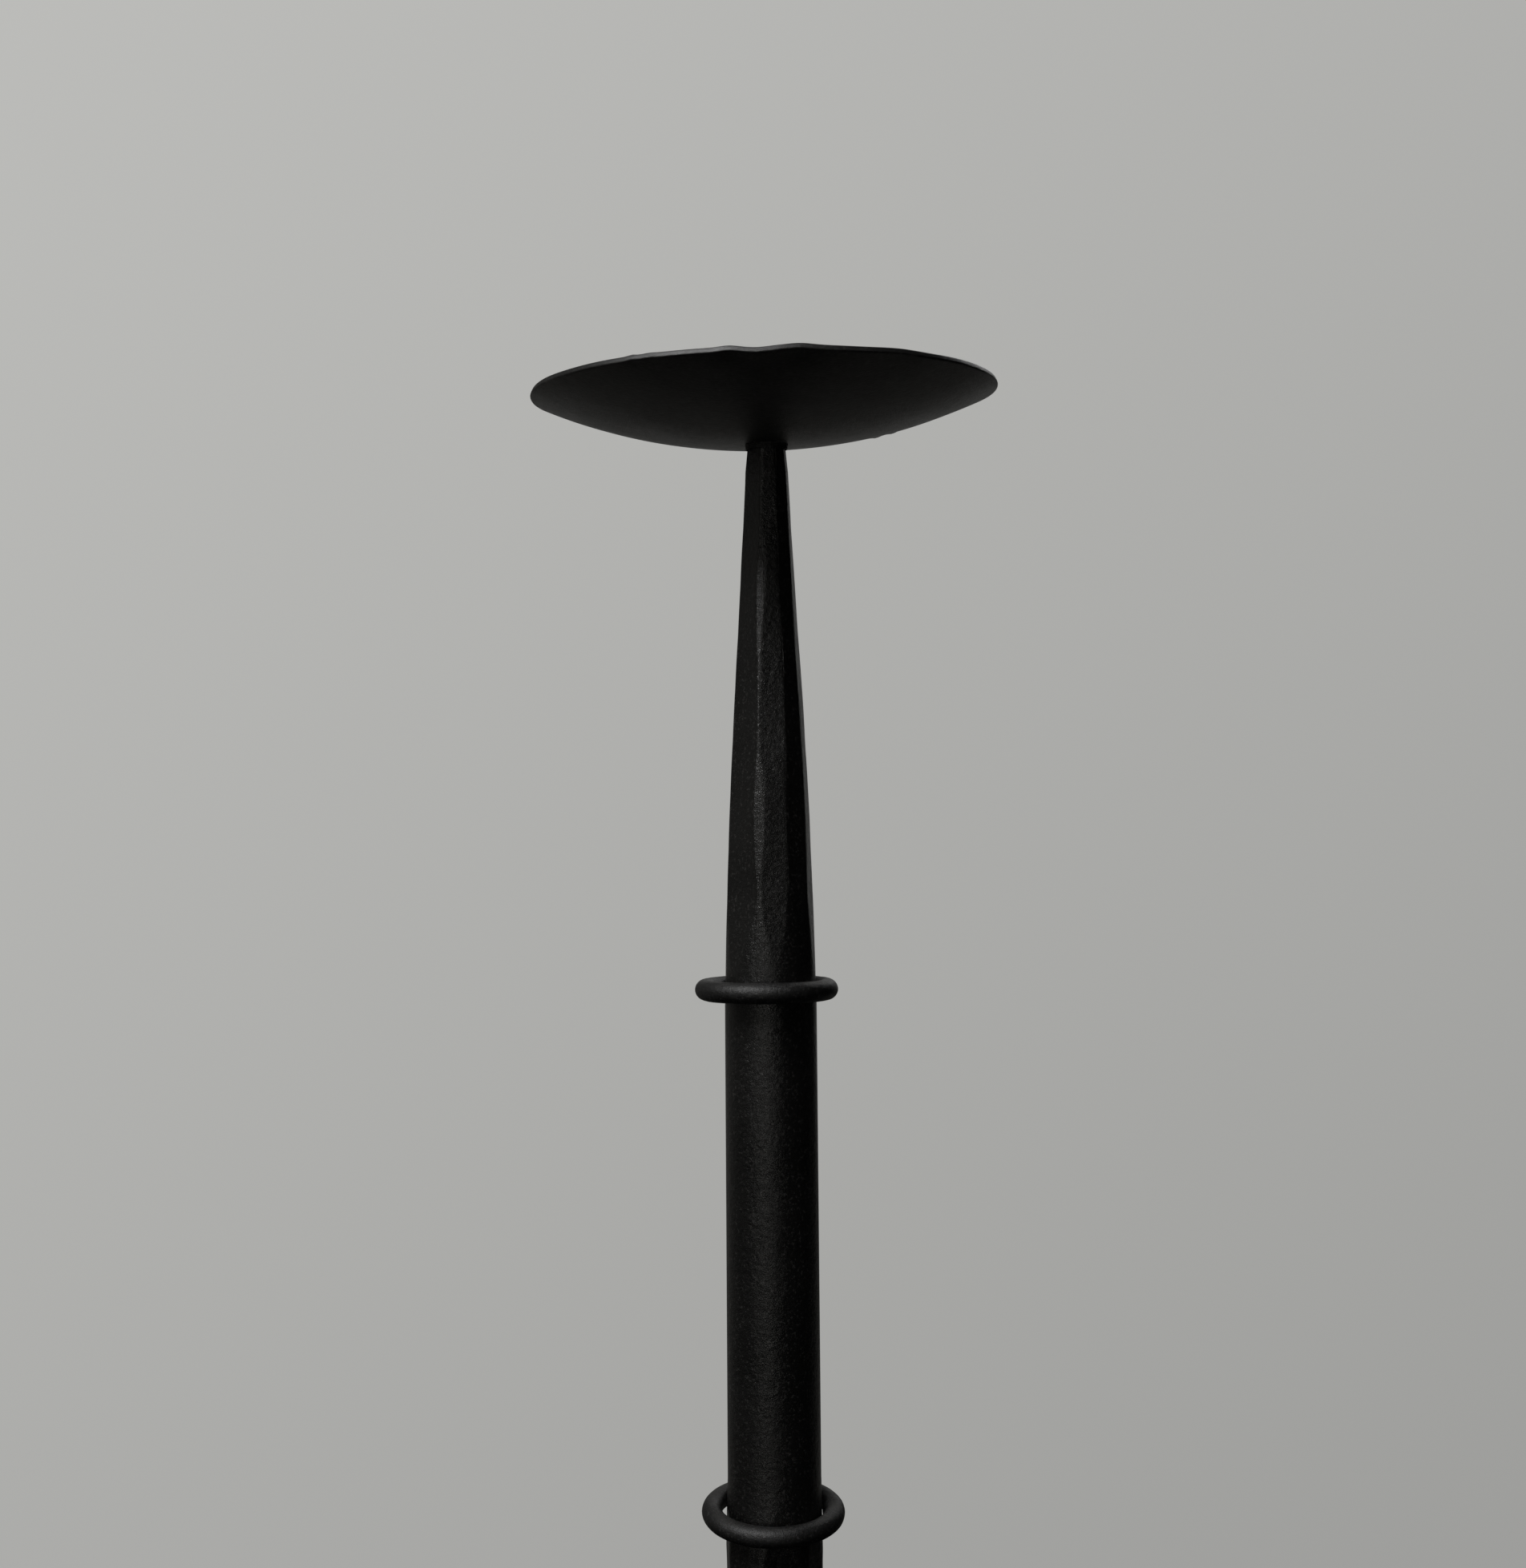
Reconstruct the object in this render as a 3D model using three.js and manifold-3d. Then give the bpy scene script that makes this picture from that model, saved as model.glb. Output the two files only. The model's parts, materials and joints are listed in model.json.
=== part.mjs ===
// Torchere candle stand: a black painted iron floor stand for one pillar candle.
// A hammered shaft carries a dished pan with a spike. Two rings of round bar hang on the shaft,
// and a boss with three forged legs holds it up. Millimetres, +Z up, front towards -Y.

import * as THREE from 'three';
import { mergeVertices } from 'three/addons/utils/BufferGeometryUtils.js';
import Module from 'manifold-3d';

const wasm = await Module();
wasm.setup();

// ---------------------------------------------------------------- driving dimensions

const CLEARANCE = 0.3; // between pieces that touch

// Shaft: a tube, hammered below the lower ring and drawn to a hammered taper above the upper one
const LOWER_LENGTH = 420; // boss to lower ring
const PLAIN_LENGTH = 226.6; // lower ring to upper ring
const TAPER_LENGTH = 236.2; // upper ring to pan
const FOOT_END_DIAMETER = 38;
const HAMMERED_DIAMETER = 43.2; // just under the lower ring
const PLAIN_LOW_DIAMETER = 40.6; // just over the lower ring
const PLAIN_HIGH_DIAMETER = 39.8; // just under the upper ring
const TAPER_FOOT_DIAMETER = 39.2;
const TAPER_QUARTER_DIAMETER = 36.4;
const TAPER_HALF_DIAMETER = 30.9;
const TAPER_THREE_QUARTER_DIAMETER = 23.9;
const TAPER_TOP_DIAMETER = 18.1;
const NECK_DIAMETER = 16.5; // drawn in under the pan
const NECK_LENGTH = 12; // over which it is drawn in
const TUBE_WALL = 3;
const BORE_RUN = 150; // how far the bore climbs into the taper
const BORE_TIP_DIAMETER = 4;

// Hammered flats: the angles of the ridges between them, in degrees to the right of the front
const TAPER_RIDGES = [-82, -22.8, -9.8, 27, 60, 93, 130, 170, 206, 242];
const FOOT_RIDGES = [-66, -32, -17, 36, 72, 108, 146, 184, 222, 258];
const RIDGE_SWAY = 1.6; // degrees that a ridge wanders
const RIDGE_SWAY_LENGTH = 120; // height of one wander
const RIDGE_SWAY_PHASE = 2.1; // radians from one ridge to the next
const RIDGE_DIP = 0.22; // depth of the hammer's unevenness along a ridge
const RIDGE_DIP_LENGTH = 46; // height of one dip
const RIDGE_DIP_PHASE = 1.7; // radians from one ridge to the next
const NARROW_FLAT = 1; // the flat that single blows widened
const NARROW_FLAT_LEAST = 0.9; // its least width from its middle, in degrees
const NARROW_FLAT_MOST = 7.5; // and its greatest
const BLOW_LENGTH = 57; // height of a blow on the narrow flat
const BLOW_HEIGHTS = [0, 75, 173]; // middles of the blows, above the upper ring
const TAPER_RUNOUT_GAP = 7; // from the upper ring up to the tips of the flats
const FOOT_RUNOUT_GAP = 15; // from the lower ring up to the tips of the flats
const RUNOUT_LENGTH = 34; // over which a flat reaches its full width
const RUNOUT_STAGGER = 7; // most that one flat starts later than another
const RUNOUT_PHASE = 2.4; // radians from one flat to the next

// Pan
const PAN_DIAMETER = 202.4;
const PAN_DEPTH = 21.3; // lower edge of the rim to the underside
const PAN_WALL = 2.6;
const PAN_SEAT_DIAMETER = 24; // flat middle
const PAN_SHIFT = -0.5; // to the left of the neck, as the pan was set by hand
const HEAD_LEAN = 1.0; // degrees, left side low

// Candle spike and its plate
const STUD_DIAMETER = 8;
const STUD_CLEARANCE = 0.5; // the leaning stud stays clear of its holes
const STUD_REACH = 16; // below the pan
const STUD_HOLE_SPARE = 3; // hole past the stud's end
const PLATE_DIAMETER = 56;
const PLATE_THICKNESS = 2;
const PLATE_EDGE = 0.5;
const SPIKE_DIAMETER = 11; // at its shoulder on the plate
const SPIKE_TIP_DIAMETER = 1;
const SPIKE_LENGTH = 33; // above the plate
const NECK_BEAD_WIDTH = 1.1; // of the weld fillet against the pan
const NECK_BEAD_HEIGHT = 2.2;
const BEAD_TOE = 0.4; // its thickness where it ends

// Rings
const RING_DIAMETER = 62.3;
const RING_BAR = 9.2;
const UPPER_RING_SHIFT = -1.8; // to the left of the shaft's axis
const LOWER_RING_SHIFT = -0.6;
const UPPER_RING_DIP = -1.0; // degrees, front low
const LOWER_RING_DIP = 6.1;
const LOWER_RING_LEAN = 0.9; // degrees, right side low
const TACK_ANGLES = [138, 222]; // two small welds behind each ring, degrees from the front
const TACK_NAMES = ['right', 'left'];
const TACK_WIDTH = 13;
const TACK_HEIGHT = 9.6;
const TACK_DEPTH = 8.4;
const TACK_RISE = 4.4; // middle of a weld above the middle of the bar

// Boss that joins the legs to the shaft
const BOSS_BOTTOM = 186; // above the floor
const BOSS_HEIGHT = 28;
const BOSS_DIAMETER = 76;
const BOSS_CHAMFER = 3;
const REGISTER_DEPTH = 3; // recess that the shaft stands in
const SOCKET_FLOOR_RADIUS = 20;
const BASE_STUD_DIAMETER = 16;
const BASE_STUD_CHAMFER = 1;
const PLUG_LENGTH = 34;
const WASHER_DIAMETER = 34;
const WASHER_THICKNESS = 3;
const NUT_FLATS = 24;
const NUT_HEIGHT = 13;
const NUT_CHAMFER = 1.2;
const STUD_END = 3; // base stud past its nut

// Legs
const LEG_ANGLES = [60, 180, 300]; // right, back and left, degrees from the front
const LEG_NAMES = ['right', 'back', 'left'];
const LEG_SPREAD = 232; // shaft's axis to the middle of a foot
const LEG_ROOT_DIAMETER = 24;
const LEG_TIP_DIAMETER = 13;
const LEG_TIP_HEIGHT = 7.5;
const LEG_SHOULDER_PULL = 112; // how far the leg keeps to its first direction
const LEG_SHOULDER_LIFT = 12; // rise of that direction
const LEG_ANKLE_PULL = 104;
const LEG_SIDES = 8;
const TENON_DIAMETER = 12;
const FOOT_DIAMETER = 54;
const FOOT_EDGE = 5; // thickness at the rim of a foot
const FOOT_CROWN = 10; // and at its middle
const FOOT_ROUNDING = 1.5;
const RIVET_DIAMETER = 5;
const RIVET_CIRCLE = 28; // radius
const RIVET_HEAD_DIAMETER = 9.6;
const RIVET_HEAD_HEIGHT = 2.6;

// Fineness
const STEPS_PER_FLAT = 4;
const LATHE_STEPS = 40;
const DISC_STEPS = 28;
const SMALL_STEPS = 16;
const BAR_STEPS = 12;
const TACK_STEPS = 14;
const TAPER_STEP = 11;
const LOWER_STEP = 26;
const RUNOUT_STEP = 6.5;
const PLAIN_STEP = 60;
const LEG_RINGS = 18;
const PAN_ARC_STEPS = 7;
const DOME_STEPS = 3;
const CUT_SPARE = 1; // how far a cutting or joining body reaches past the face it meets

// ---------------------------------------------------------------- heights worked out from them

const BOSS_TOP = BOSS_BOTTOM + BOSS_HEIGHT;
const SHAFT_BOTTOM = BOSS_TOP - REGISTER_DEPTH + CLEARANCE;
const LOWER_RING_HEIGHT = BOSS_TOP + LOWER_LENGTH;
const UPPER_RING_HEIGHT = LOWER_RING_HEIGHT + PLAIN_LENGTH;
const SHAFT_TOP = UPPER_RING_HEIGHT + TAPER_LENGTH;
const NECK_FOOT = SHAFT_TOP - NECK_LENGTH;
const PAN_BOTTOM = SHAFT_TOP + CLEARANCE;
const RIVET_TOP = BOSS_TOP + CLEARANCE;
const RIVET_BOTTOM = BOSS_BOTTOM - CLEARANCE;
const SOCKET_HEIGHT = BOSS_BOTTOM + BOSS_HEIGHT / 2;
const WASHER_TOP = BOSS_BOTTOM - CLEARANCE;
const NUT_TOP = WASHER_TOP - WASHER_THICKNESS - CLEARANCE;
const LEG_ROOT = BOSS_DIAMETER / 2 + CLEARANCE;
const STUD_HOLE_RADIUS = STUD_DIAMETER / 2 + STUD_CLEARANCE;
const RING_RADIUS = (RING_DIAMETER - RING_BAR) / 2;

// ---------------------------------------------------------------- finishes

const paint = (color, roughness) => new THREE.MeshStandardMaterial({ color, roughness, metalness: 0.35 });
const panPaint = paint(0x1d1c1b, 0.55);
const shaftPaint = paint(0x191918, 0.5);
const ringPaint = paint(0x222120, 0.42);
const weldPaint = paint(0x1b1a19, 0.6);
const legPaint = paint(0x191918, 0.52);
const hardwarePaint = paint(0x262524, 0.5);

// ---------------------------------------------------------------- tools for shapes

const rad = THREE.MathUtils.degToRad;
const mix = THREE.MathUtils.lerp;
const clamp = THREE.MathUtils.clamp;

// A closed solid from a geometry whose faces point out
function solid(geometry) {
  const bare = geometry.clone();
  bare.deleteAttribute('normal');
  bare.deleteAttribute('uv');
  const merged = mergeVertices(bare, 1e-4);
  const index = Array.from(merged.index.array);
  const triangles = [];
  for (let i = 0; i < index.length; i += 3) {
    const [a, b, c] = index.slice(i, i + 3);
    if (a !== b && b !== c && c !== a) {
      triangles.push(a, b, c);
    }
  }
  const vertProperties = new Float32Array(merged.attributes.position.array);
  const triVerts = new Uint32Array(triangles);
  return new wasm.Manifold(new wasm.Mesh({ numProp: 3, vertProperties, triVerts }));
}

function geometryOf(body) {
  const mesh = body.getMesh();
  const geometry = new THREE.BufferGeometry();
  geometry.setAttribute('position', new THREE.BufferAttribute(new Float32Array(mesh.vertProperties), 3));
  geometry.setIndex(new THREE.BufferAttribute(new Uint32Array(mesh.triVerts), 1));
  geometry.computeVertexNormals();
  return geometry;
}

// A profile of [radius, height] pairs, listed anticlockwise with the radius to the right, turned about Z
function revolve(profile, steps = LATHE_STEPS) {
  const points = profile.map(([radius, height]) => new THREE.Vector2(radius, height));
  const geometry = new THREE.LatheGeometry(points, steps);
  geometry.rotateX(Math.PI / 2);
  return geometry;
}

function closedRevolve(profile, steps = LATHE_STEPS) {
  return revolve([...profile, profile[0]], steps);
}

function rod(radius, bottom, top, steps = SMALL_STEPS) {
  return revolve([[0, bottom], [radius, bottom], [radius, top], [0, top]], steps);
}

// A skin over rings of points, each ring anticlockwise as seen from the end of the run, with both ends shut
function loft(rings) {
  const count = rings[0].length;
  const positions = rings.flat().flatMap((point) => point.toArray());
  const index = [];
  for (let ring = 0; ring + 1 < rings.length; ring++) {
    for (let i = 0; i < count; i++) {
      const next = (i + 1) % count;
      const a = ring * count + i;
      const b = ring * count + next;
      const c = a + count;
      const d = b + count;
      index.push(a, b, d, a, d, c);
    }
  }
  for (const [ring, turned] of [[0, true], [rings.length - 1, false]]) {
    const middle = positions.length / 3;
    const centre = rings[ring].reduce((sum, point) => sum.add(point), new THREE.Vector3());
    positions.push(...centre.divideScalar(count).toArray());
    for (let i = 0; i < count; i++) {
      const a = ring * count + i;
      const b = ring * count + ((i + 1) % count);
      index.push(middle, turned ? b : a, turned ? a : b);
    }
  }
  const geometry = new THREE.BufferGeometry();
  geometry.setAttribute('position', new THREE.Float32BufferAttribute(positions, 3));
  geometry.setIndex(index);
  return geometry;
}

function part(name, geometry, material) {
  const mesh = new THREE.Mesh(geometry, material);
  mesh.name = name;
  return mesh;
}

// Points of a dome in a profile, from the edge of its base up to just before its top on the axis
function dome(radius, base, rise) {
  const points = [];
  for (let i = 0; i < DOME_STEPS; i++) {
    const angle = (Math.PI / 2) * (i / DOME_STEPS);
    points.push([radius * Math.cos(angle), base + rise * Math.sin(angle)]);
  }
  return points;
}

// Points of an arc in a profile, about a centre on the axis, between two angles from straight down
function arc(centreHeight, radius, from, to, steps) {
  const points = [];
  for (let i = 0; i <= steps; i++) {
    const angle = mix(from, to, i / steps);
    points.push([radius * Math.sin(angle), centreHeight - radius * Math.cos(angle)]);
  }
  return points;
}

// ---------------------------------------------------------------- hammered shaft

// Diameters at even steps up the taper
const taperDiameters = [
  TAPER_FOOT_DIAMETER,
  TAPER_QUARTER_DIAMETER,
  TAPER_HALF_DIAMETER,
  TAPER_THREE_QUARTER_DIAMETER,
  TAPER_TOP_DIAMETER,
];
const taperCurve = new THREE.SplineCurve(taperDiameters.map((diameter, i) => {
  const share = i / (taperDiameters.length - 1);
  return new THREE.Vector2(TAPER_LENGTH * share, diameter / 2);
}));

// Radius over the ridges at a height
function shaftRadius(height) {
  if (height > UPPER_RING_HEIGHT) {
    const drawnIn = Math.max(0, (height - NECK_FOOT) / NECK_LENGTH);
    const drop = (TAPER_TOP_DIAMETER - NECK_DIAMETER) / 2;
    return taperCurve.getPoint((height - UPPER_RING_HEIGHT) / TAPER_LENGTH).y - drop * drawnIn;
  }
  const plainLow = LOWER_RING_HEIGHT + FOOT_RUNOUT_GAP;
  if (height > plainLow) {
    const rise = (height - plainLow) / (UPPER_RING_HEIGHT - plainLow);
    return mix(PLAIN_LOW_DIAMETER, PLAIN_HIGH_DIAMETER, rise) / 2;
  }
  const hammeredTop = LOWER_RING_HEIGHT - FOOT_RUNOUT_GAP;
  if (height > hammeredTop) {
    const rise = (height - hammeredTop) / (plainLow - hammeredTop);
    return mix(HAMMERED_DIAMETER, PLAIN_LOW_DIAMETER, rise) / 2;
  }
  const rise = (height - SHAFT_BOTTOM) / (hammeredTop - SHAFT_BOTTOM);
  return mix(FOOT_END_DIAMETER, HAMMERED_DIAMETER, rise) / 2;
}

// Share of its full width that a flat has at a height: it runs out in a rounded tip near each ring
function flatShare(height, flat) {
  const stagger = RUNOUT_STAGGER * Math.abs(Math.sin(RUNOUT_PHASE * flat));
  const aboveUpper = height - UPPER_RING_HEIGHT - TAPER_RUNOUT_GAP - stagger;
  const belowLower = LOWER_RING_HEIGHT + FOOT_RUNOUT_GAP - height - stagger;
  return clamp(Math.max(aboveUpper, belowLower) / RUNOUT_LENGTH, 0, 1);
}

// How far the narrow flat is opened at a height by the single blows on it
function blowShare(height) {
  const blows = BLOW_HEIGHTS.map((middle) => {
    const reach = (height - UPPER_RING_HEIGHT - middle) / BLOW_LENGTH;
    return Math.abs(reach) < 0.5 ? Math.cos(Math.PI * reach) : 0;
  });
  return Math.max(...blows);
}

// The ridges at a height: they go from one set to the other over the round length, and wander a little
function ridgeAngles(height) {
  const rise = clamp((height - LOWER_RING_HEIGHT) / PLAIN_LENGTH, 0, 1);
  const ridges = TAPER_RIDGES.map((angle, i) => {
    const turn = (2 * Math.PI * height) / RIDGE_SWAY_LENGTH + RIDGE_SWAY_PHASE * i;
    const sway = RIDGE_SWAY * Math.sin(turn);
    return mix(FOOT_RIDGES[i], angle, rise) + sway;
  });
  if (height > UPPER_RING_HEIGHT) {
    const middle = (ridges[NARROW_FLAT] + ridges[NARROW_FLAT + 1]) / 2;
    const half = mix(NARROW_FLAT_LEAST, NARROW_FLAT_MOST, blowShare(height));
    ridges[NARROW_FLAT] = middle - half;
    ridges[NARROW_FLAT + 1] = middle + half;
  }
  return ridges;
}

function shaftRing(height) {
  const ridges = ridgeAngles(height);
  const radius = shaftRadius(height);
  const points = [];
  ridges.forEach((start, flat) => {
    const end = flat + 1 < ridges.length ? ridges[flat + 1] : ridges[0] + 360;
    const middle = (start + end) / 2;
    const share = flatShare(height, flat);
    const turn = (2 * Math.PI * height) / RIDGE_DIP_LENGTH + RIDGE_DIP_PHASE * flat;
    const dip = RIDGE_DIP * share * (1 + Math.sin(turn)) / 2;
    const cut = radius * Math.cos(rad((end - start) / 2) * Math.sqrt(share));
    for (let step = 0; step < STEPS_PER_FLAT; step++) {
      const angle = mix(start, end, step / STEPS_PER_FLAT);
      const reach = Math.min(radius - dip, cut / Math.cos(rad(angle - middle)));
      points.push(new THREE.Vector3(reach * Math.sin(rad(angle)), -reach * Math.cos(rad(angle)), height));
    }
  });
  return points;
}

// Heights from one to another in even steps no longer than asked, without the last
function rungs(from, to, longest) {
  const count = Math.ceil((to - from) / longest);
  return Array.from({ length: count }, (_, i) => mix(from, to, i / count));
}

function shaftHeights() {
  const lowerRunout = LOWER_RING_HEIGHT + FOOT_RUNOUT_GAP - RUNOUT_LENGTH - RUNOUT_STAGGER;
  const plainFoot = LOWER_RING_HEIGHT + FOOT_RUNOUT_GAP;
  const plainHead = UPPER_RING_HEIGHT + TAPER_RUNOUT_GAP;
  const upperRunout = plainHead + RUNOUT_LENGTH + RUNOUT_STAGGER;
  return [
    ...rungs(SHAFT_BOTTOM, lowerRunout, LOWER_STEP),
    ...rungs(lowerRunout, plainFoot, RUNOUT_STEP),
    ...rungs(plainFoot, plainHead, PLAIN_STEP),
    ...rungs(plainHead, upperRunout, RUNOUT_STEP),
    ...rungs(upperRunout, NECK_FOOT, TAPER_STEP),
    ...rungs(NECK_FOOT, SHAFT_TOP, RUNOUT_STEP),
    SHAFT_TOP,
  ];
}

function widestFlat(ridges) {
  const ends = [...ridges.slice(1), ridges[0] + 360];
  return Math.max(...ends.map((end, i) => end - ridges[i]));
}

// Radius of the bore: the wall lies inside the deepest flat
const deepestFlat = Math.max(widestFlat(TAPER_RIDGES), widestFlat(FOOT_RIDGES));

function boreRadius(height) {
  return shaftRadius(height) * Math.cos(rad(deepestFlat / 2)) - TUBE_WALL;
}

function makeShaft() {
  const boreTop = UPPER_RING_HEIGHT + BORE_RUN;
  const outside = loft(shaftHeights().map(shaftRing));
  const boreHeights = [LOWER_RING_HEIGHT, UPPER_RING_HEIGHT, UPPER_RING_HEIGHT + BORE_RUN / 2];
  const bore = revolve([
    [0, SHAFT_BOTTOM - CUT_SPARE],
    [boreRadius(SHAFT_BOTTOM), SHAFT_BOTTOM - CUT_SPARE],
    [boreRadius(SHAFT_BOTTOM), SHAFT_BOTTOM + PLUG_LENGTH],
    ...boreHeights.map((height) => [boreRadius(height), height]),
    [BORE_TIP_DIAMETER / 2, boreTop],
    [0, boreTop],
  ], SMALL_STEPS);
  const studHoleFloor = SHAFT_TOP - STUD_REACH - STUD_HOLE_SPARE;
  const studHole = rod(STUD_HOLE_RADIUS, studHoleFloor, SHAFT_TOP + CUT_SPARE);
  const body = solid(outside).subtract(solid(bore)).subtract(solid(studHole));
  return part('shaft', geometryOf(body), shaftPaint);
}

// Plug welded into the foot of the tube, with the stud that goes through the boss
function makeShaftPlug() {
  const plug = boreRadius(SHAFT_BOTTOM) - CLEARANCE;
  const stud = BASE_STUD_DIAMETER / 2;
  const end = NUT_TOP - NUT_HEIGHT - STUD_END;
  const top = SHAFT_BOTTOM + PLUG_LENGTH;
  const profile = [
    [0, end],
    [stud - BASE_STUD_CHAMFER, end],
    [stud, end + BASE_STUD_CHAMFER],
    [stud, SHAFT_BOTTOM],
    [plug, SHAFT_BOTTOM],
    [plug, top - BASE_STUD_CHAMFER],
    [plug - BASE_STUD_CHAMFER, top],
    [0, top],
  ];
  return part('shaft_plug_and_stud', revolve(profile, SMALL_STEPS), hardwarePaint);
}

// ---------------------------------------------------------------- pan, plate and spike

// The pan is a cap of a sphere round a flat middle. Heights from here on are over the pan's underside:
// panCentre is the height of the sphere's centre, panOutside and panInside are its radii.
const panSeatRadius = PAN_SEAT_DIAMETER / 2;
const panRimRadius = PAN_DIAMETER / 2;
const panCentre = (panRimRadius ** 2 + PAN_DEPTH ** 2 - panSeatRadius ** 2) / (2 * PAN_DEPTH);
const panOutside = Math.hypot(panCentre, panSeatRadius);
const panInside = panOutside - PAN_WALL;

// Height of the pan's inner face at a radius
function panFloor(radius) {
  return panCentre - Math.sqrt(panInside ** 2 - radius ** 2);
}

function makeDripPan() {
  const seatAngle = Math.asin(panSeatRadius / panOutside);
  const rimAngle = Math.asin(panRimRadius / panOutside);
  const innerSeatAngle = Math.asin(panSeatRadius / panInside);
  const profile = [
    [0, 0],
    ...arc(panCentre, panOutside, seatAngle, rimAngle, PAN_ARC_STEPS),
    ...arc(panCentre, panInside, rimAngle, innerSeatAngle, PAN_ARC_STEPS),
    [0, panFloor(panSeatRadius)],
  ];
  const dish = revolve(profile).translate(PAN_SHIFT, 0, 0);
  const studHole = rod(STUD_HOLE_RADIUS, -PAN_WALL, PAN_DEPTH);
  return part('drip_pan', geometryOf(solid(dish).subtract(solid(studHole))), panPaint);
}

const plateBottom = panFloor(PLATE_DIAMETER / 2 + Math.abs(PAN_SHIFT)) + CLEARANCE;
const plateTop = plateBottom + PLATE_THICKNESS;

// The candle's foot rests on the flat of the plate, outside the shoulder of the spike
function makeCandlePlate() {
  const radius = PLATE_DIAMETER / 2;
  const shoulder = SPIKE_DIAMETER / 2 + CLEARANCE;
  const profile = [
    [STUD_HOLE_RADIUS, plateBottom],
    [radius - PLATE_EDGE, plateBottom],
    [radius, plateBottom + PLATE_EDGE],
    [radius, plateTop - PLATE_EDGE],
    [radius - PLATE_EDGE, plateTop],
    [shoulder, plateTop],
    [STUD_HOLE_RADIUS, plateTop],
  ];
  return part('candle_plate', geometryOf(solid(closedRevolve(profile, DISC_STEPS))), panPaint);
}

function makeCandleSpike() {
  const stud = STUD_DIAMETER / 2;
  const bottom = plateTop + CLEARANCE;
  const tip = bottom + SPIKE_LENGTH;
  const profile = [
    [0, -STUD_REACH],
    [stud, -STUD_REACH],
    [stud, bottom],
    [SPIKE_DIAMETER / 2, bottom],
    [SPIKE_TIP_DIAMETER / 2, tip],
    [0, tip],
  ];
  return part('candle_spike', geometryOf(solid(revolve(profile, SMALL_STEPS))), hardwarePaint);
}

// Weld between the neck of the shaft and the pan, with a hollow face
function makeNeckBead() {
  const top = -CLEARANCE;
  const bottom = top - NECK_BEAD_HEIGHT;
  const innerTop = NECK_DIAMETER / 2 + CLEARANCE;
  const innerBottom = shaftRadius(PAN_BOTTOM + bottom) + CLEARANCE;
  const outer = innerTop + NECK_BEAD_WIDTH;
  const toe = innerBottom + BEAD_TOE;
  const face = [];
  for (let i = 0; i <= DOME_STEPS; i++) {
    const angle = (Math.PI / 2) * (i / DOME_STEPS);
    const radius = outer - (outer - toe) * Math.cos(angle);
    face.push([radius, bottom + (NECK_BEAD_HEIGHT - BEAD_TOE) * Math.sin(angle)]);
  }
  const profile = [[innerBottom, bottom], ...face, [outer, top], [innerTop, top]];
  return part('neck_weld_bead', geometryOf(solid(closedRevolve(profile, SMALL_STEPS))), weldPaint);
}

function makeHead() {
  const head = new THREE.Group();
  head.position.z = PAN_BOTTOM;
  head.rotation.y = -rad(HEAD_LEAN);
  head.add(makeDripPan(), makeCandlePlate(), makeCandleSpike(), makeNeckBead());
  return head;
}

// ---------------------------------------------------------------- rings and their tack welds

function ringGeometry(bar) {
  const profile = [];
  for (let i = 0; i < BAR_STEPS; i++) {
    const angle = (2 * Math.PI * i) / BAR_STEPS;
    profile.push([RING_RADIUS + bar * Math.cos(angle), bar * Math.sin(angle)]);
  }
  return closedRevolve(profile, LATHE_STEPS);
}

// Where a ring hangs: shift to the side, dip of its front and lean to the right
function placeRing(object, { height, shift, dip, lean }) {
  object.position.set(shift, 0, height);
  object.rotation.set(rad(dip), rad(lean), 0);
  object.updateMatrix();
  return object;
}

function makeRing(name, place) {
  return placeRing(part(name, geometryOf(solid(ringGeometry(RING_BAR / 2))), ringPaint), place);
}

// A weld is a flattened ball in the crotch between ring and shaft, cut back from both of them
function makeTack(name, place, angle) {
  const across = new THREE.Vector3(Math.sin(rad(angle)), -Math.cos(rad(angle)), 0);
  const ring = placeRing(new THREE.Object3D(), place);
  const barMiddle = across.clone().multiplyScalar(RING_RADIUS).applyMatrix4(ring.matrix);
  const barReach = barMiddle.dot(across) - RING_BAR / 2;
  const shaftReach = shaftRadius(barMiddle.z);
  const ball = new THREE.SphereGeometry(0.5, TACK_STEPS, TACK_STEPS / 2);
  ball.rotateX(Math.PI / 2);
  ball.scale(TACK_WIDTH, TACK_DEPTH, TACK_HEIGHT);
  ball.rotateZ(rad(angle));
  const middle = across.clone().multiplyScalar((barReach + shaftReach) / 2);
  ball.translate(middle.x, middle.y, barMiddle.z + TACK_RISE);
  const ringSpace = ringGeometry(RING_BAR / 2 + CLEARANCE).applyMatrix4(ring.matrix);
  const low = barMiddle.z - TACK_HEIGHT;
  const high = barMiddle.z + TACK_HEIGHT + TACK_RISE;
  const shaftSpace = revolve([
    [0, low],
    [shaftRadius(low) + CLEARANCE, low],
    [shaftReach + CLEARANCE, barMiddle.z],
    [shaftRadius(high) + CLEARANCE, high],
    [0, high],
  ]);
  const body = solid(ball).subtract(solid(ringSpace)).subtract(solid(shaftSpace));
  return part(name, geometryOf(body), weldPaint);
}

function makeRings() {
  const rings = new THREE.Group();
  const places = {
    upper_ring: { height: UPPER_RING_HEIGHT, shift: UPPER_RING_SHIFT, dip: UPPER_RING_DIP, lean: 0 },
    lower_ring: {
      height: LOWER_RING_HEIGHT,
      shift: LOWER_RING_SHIFT,
      dip: LOWER_RING_DIP,
      lean: LOWER_RING_LEAN,
    },
  };
  for (const [name, place] of Object.entries(places)) {
    rings.add(makeRing(name, place));
    TACK_ANGLES.forEach((angle, i) => {
      rings.add(makeTack(`${name}_weld_${TACK_NAMES[i]}`, place, angle));
    });
  }
  return rings;
}

// ---------------------------------------------------------------- boss, washer and nut

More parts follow.
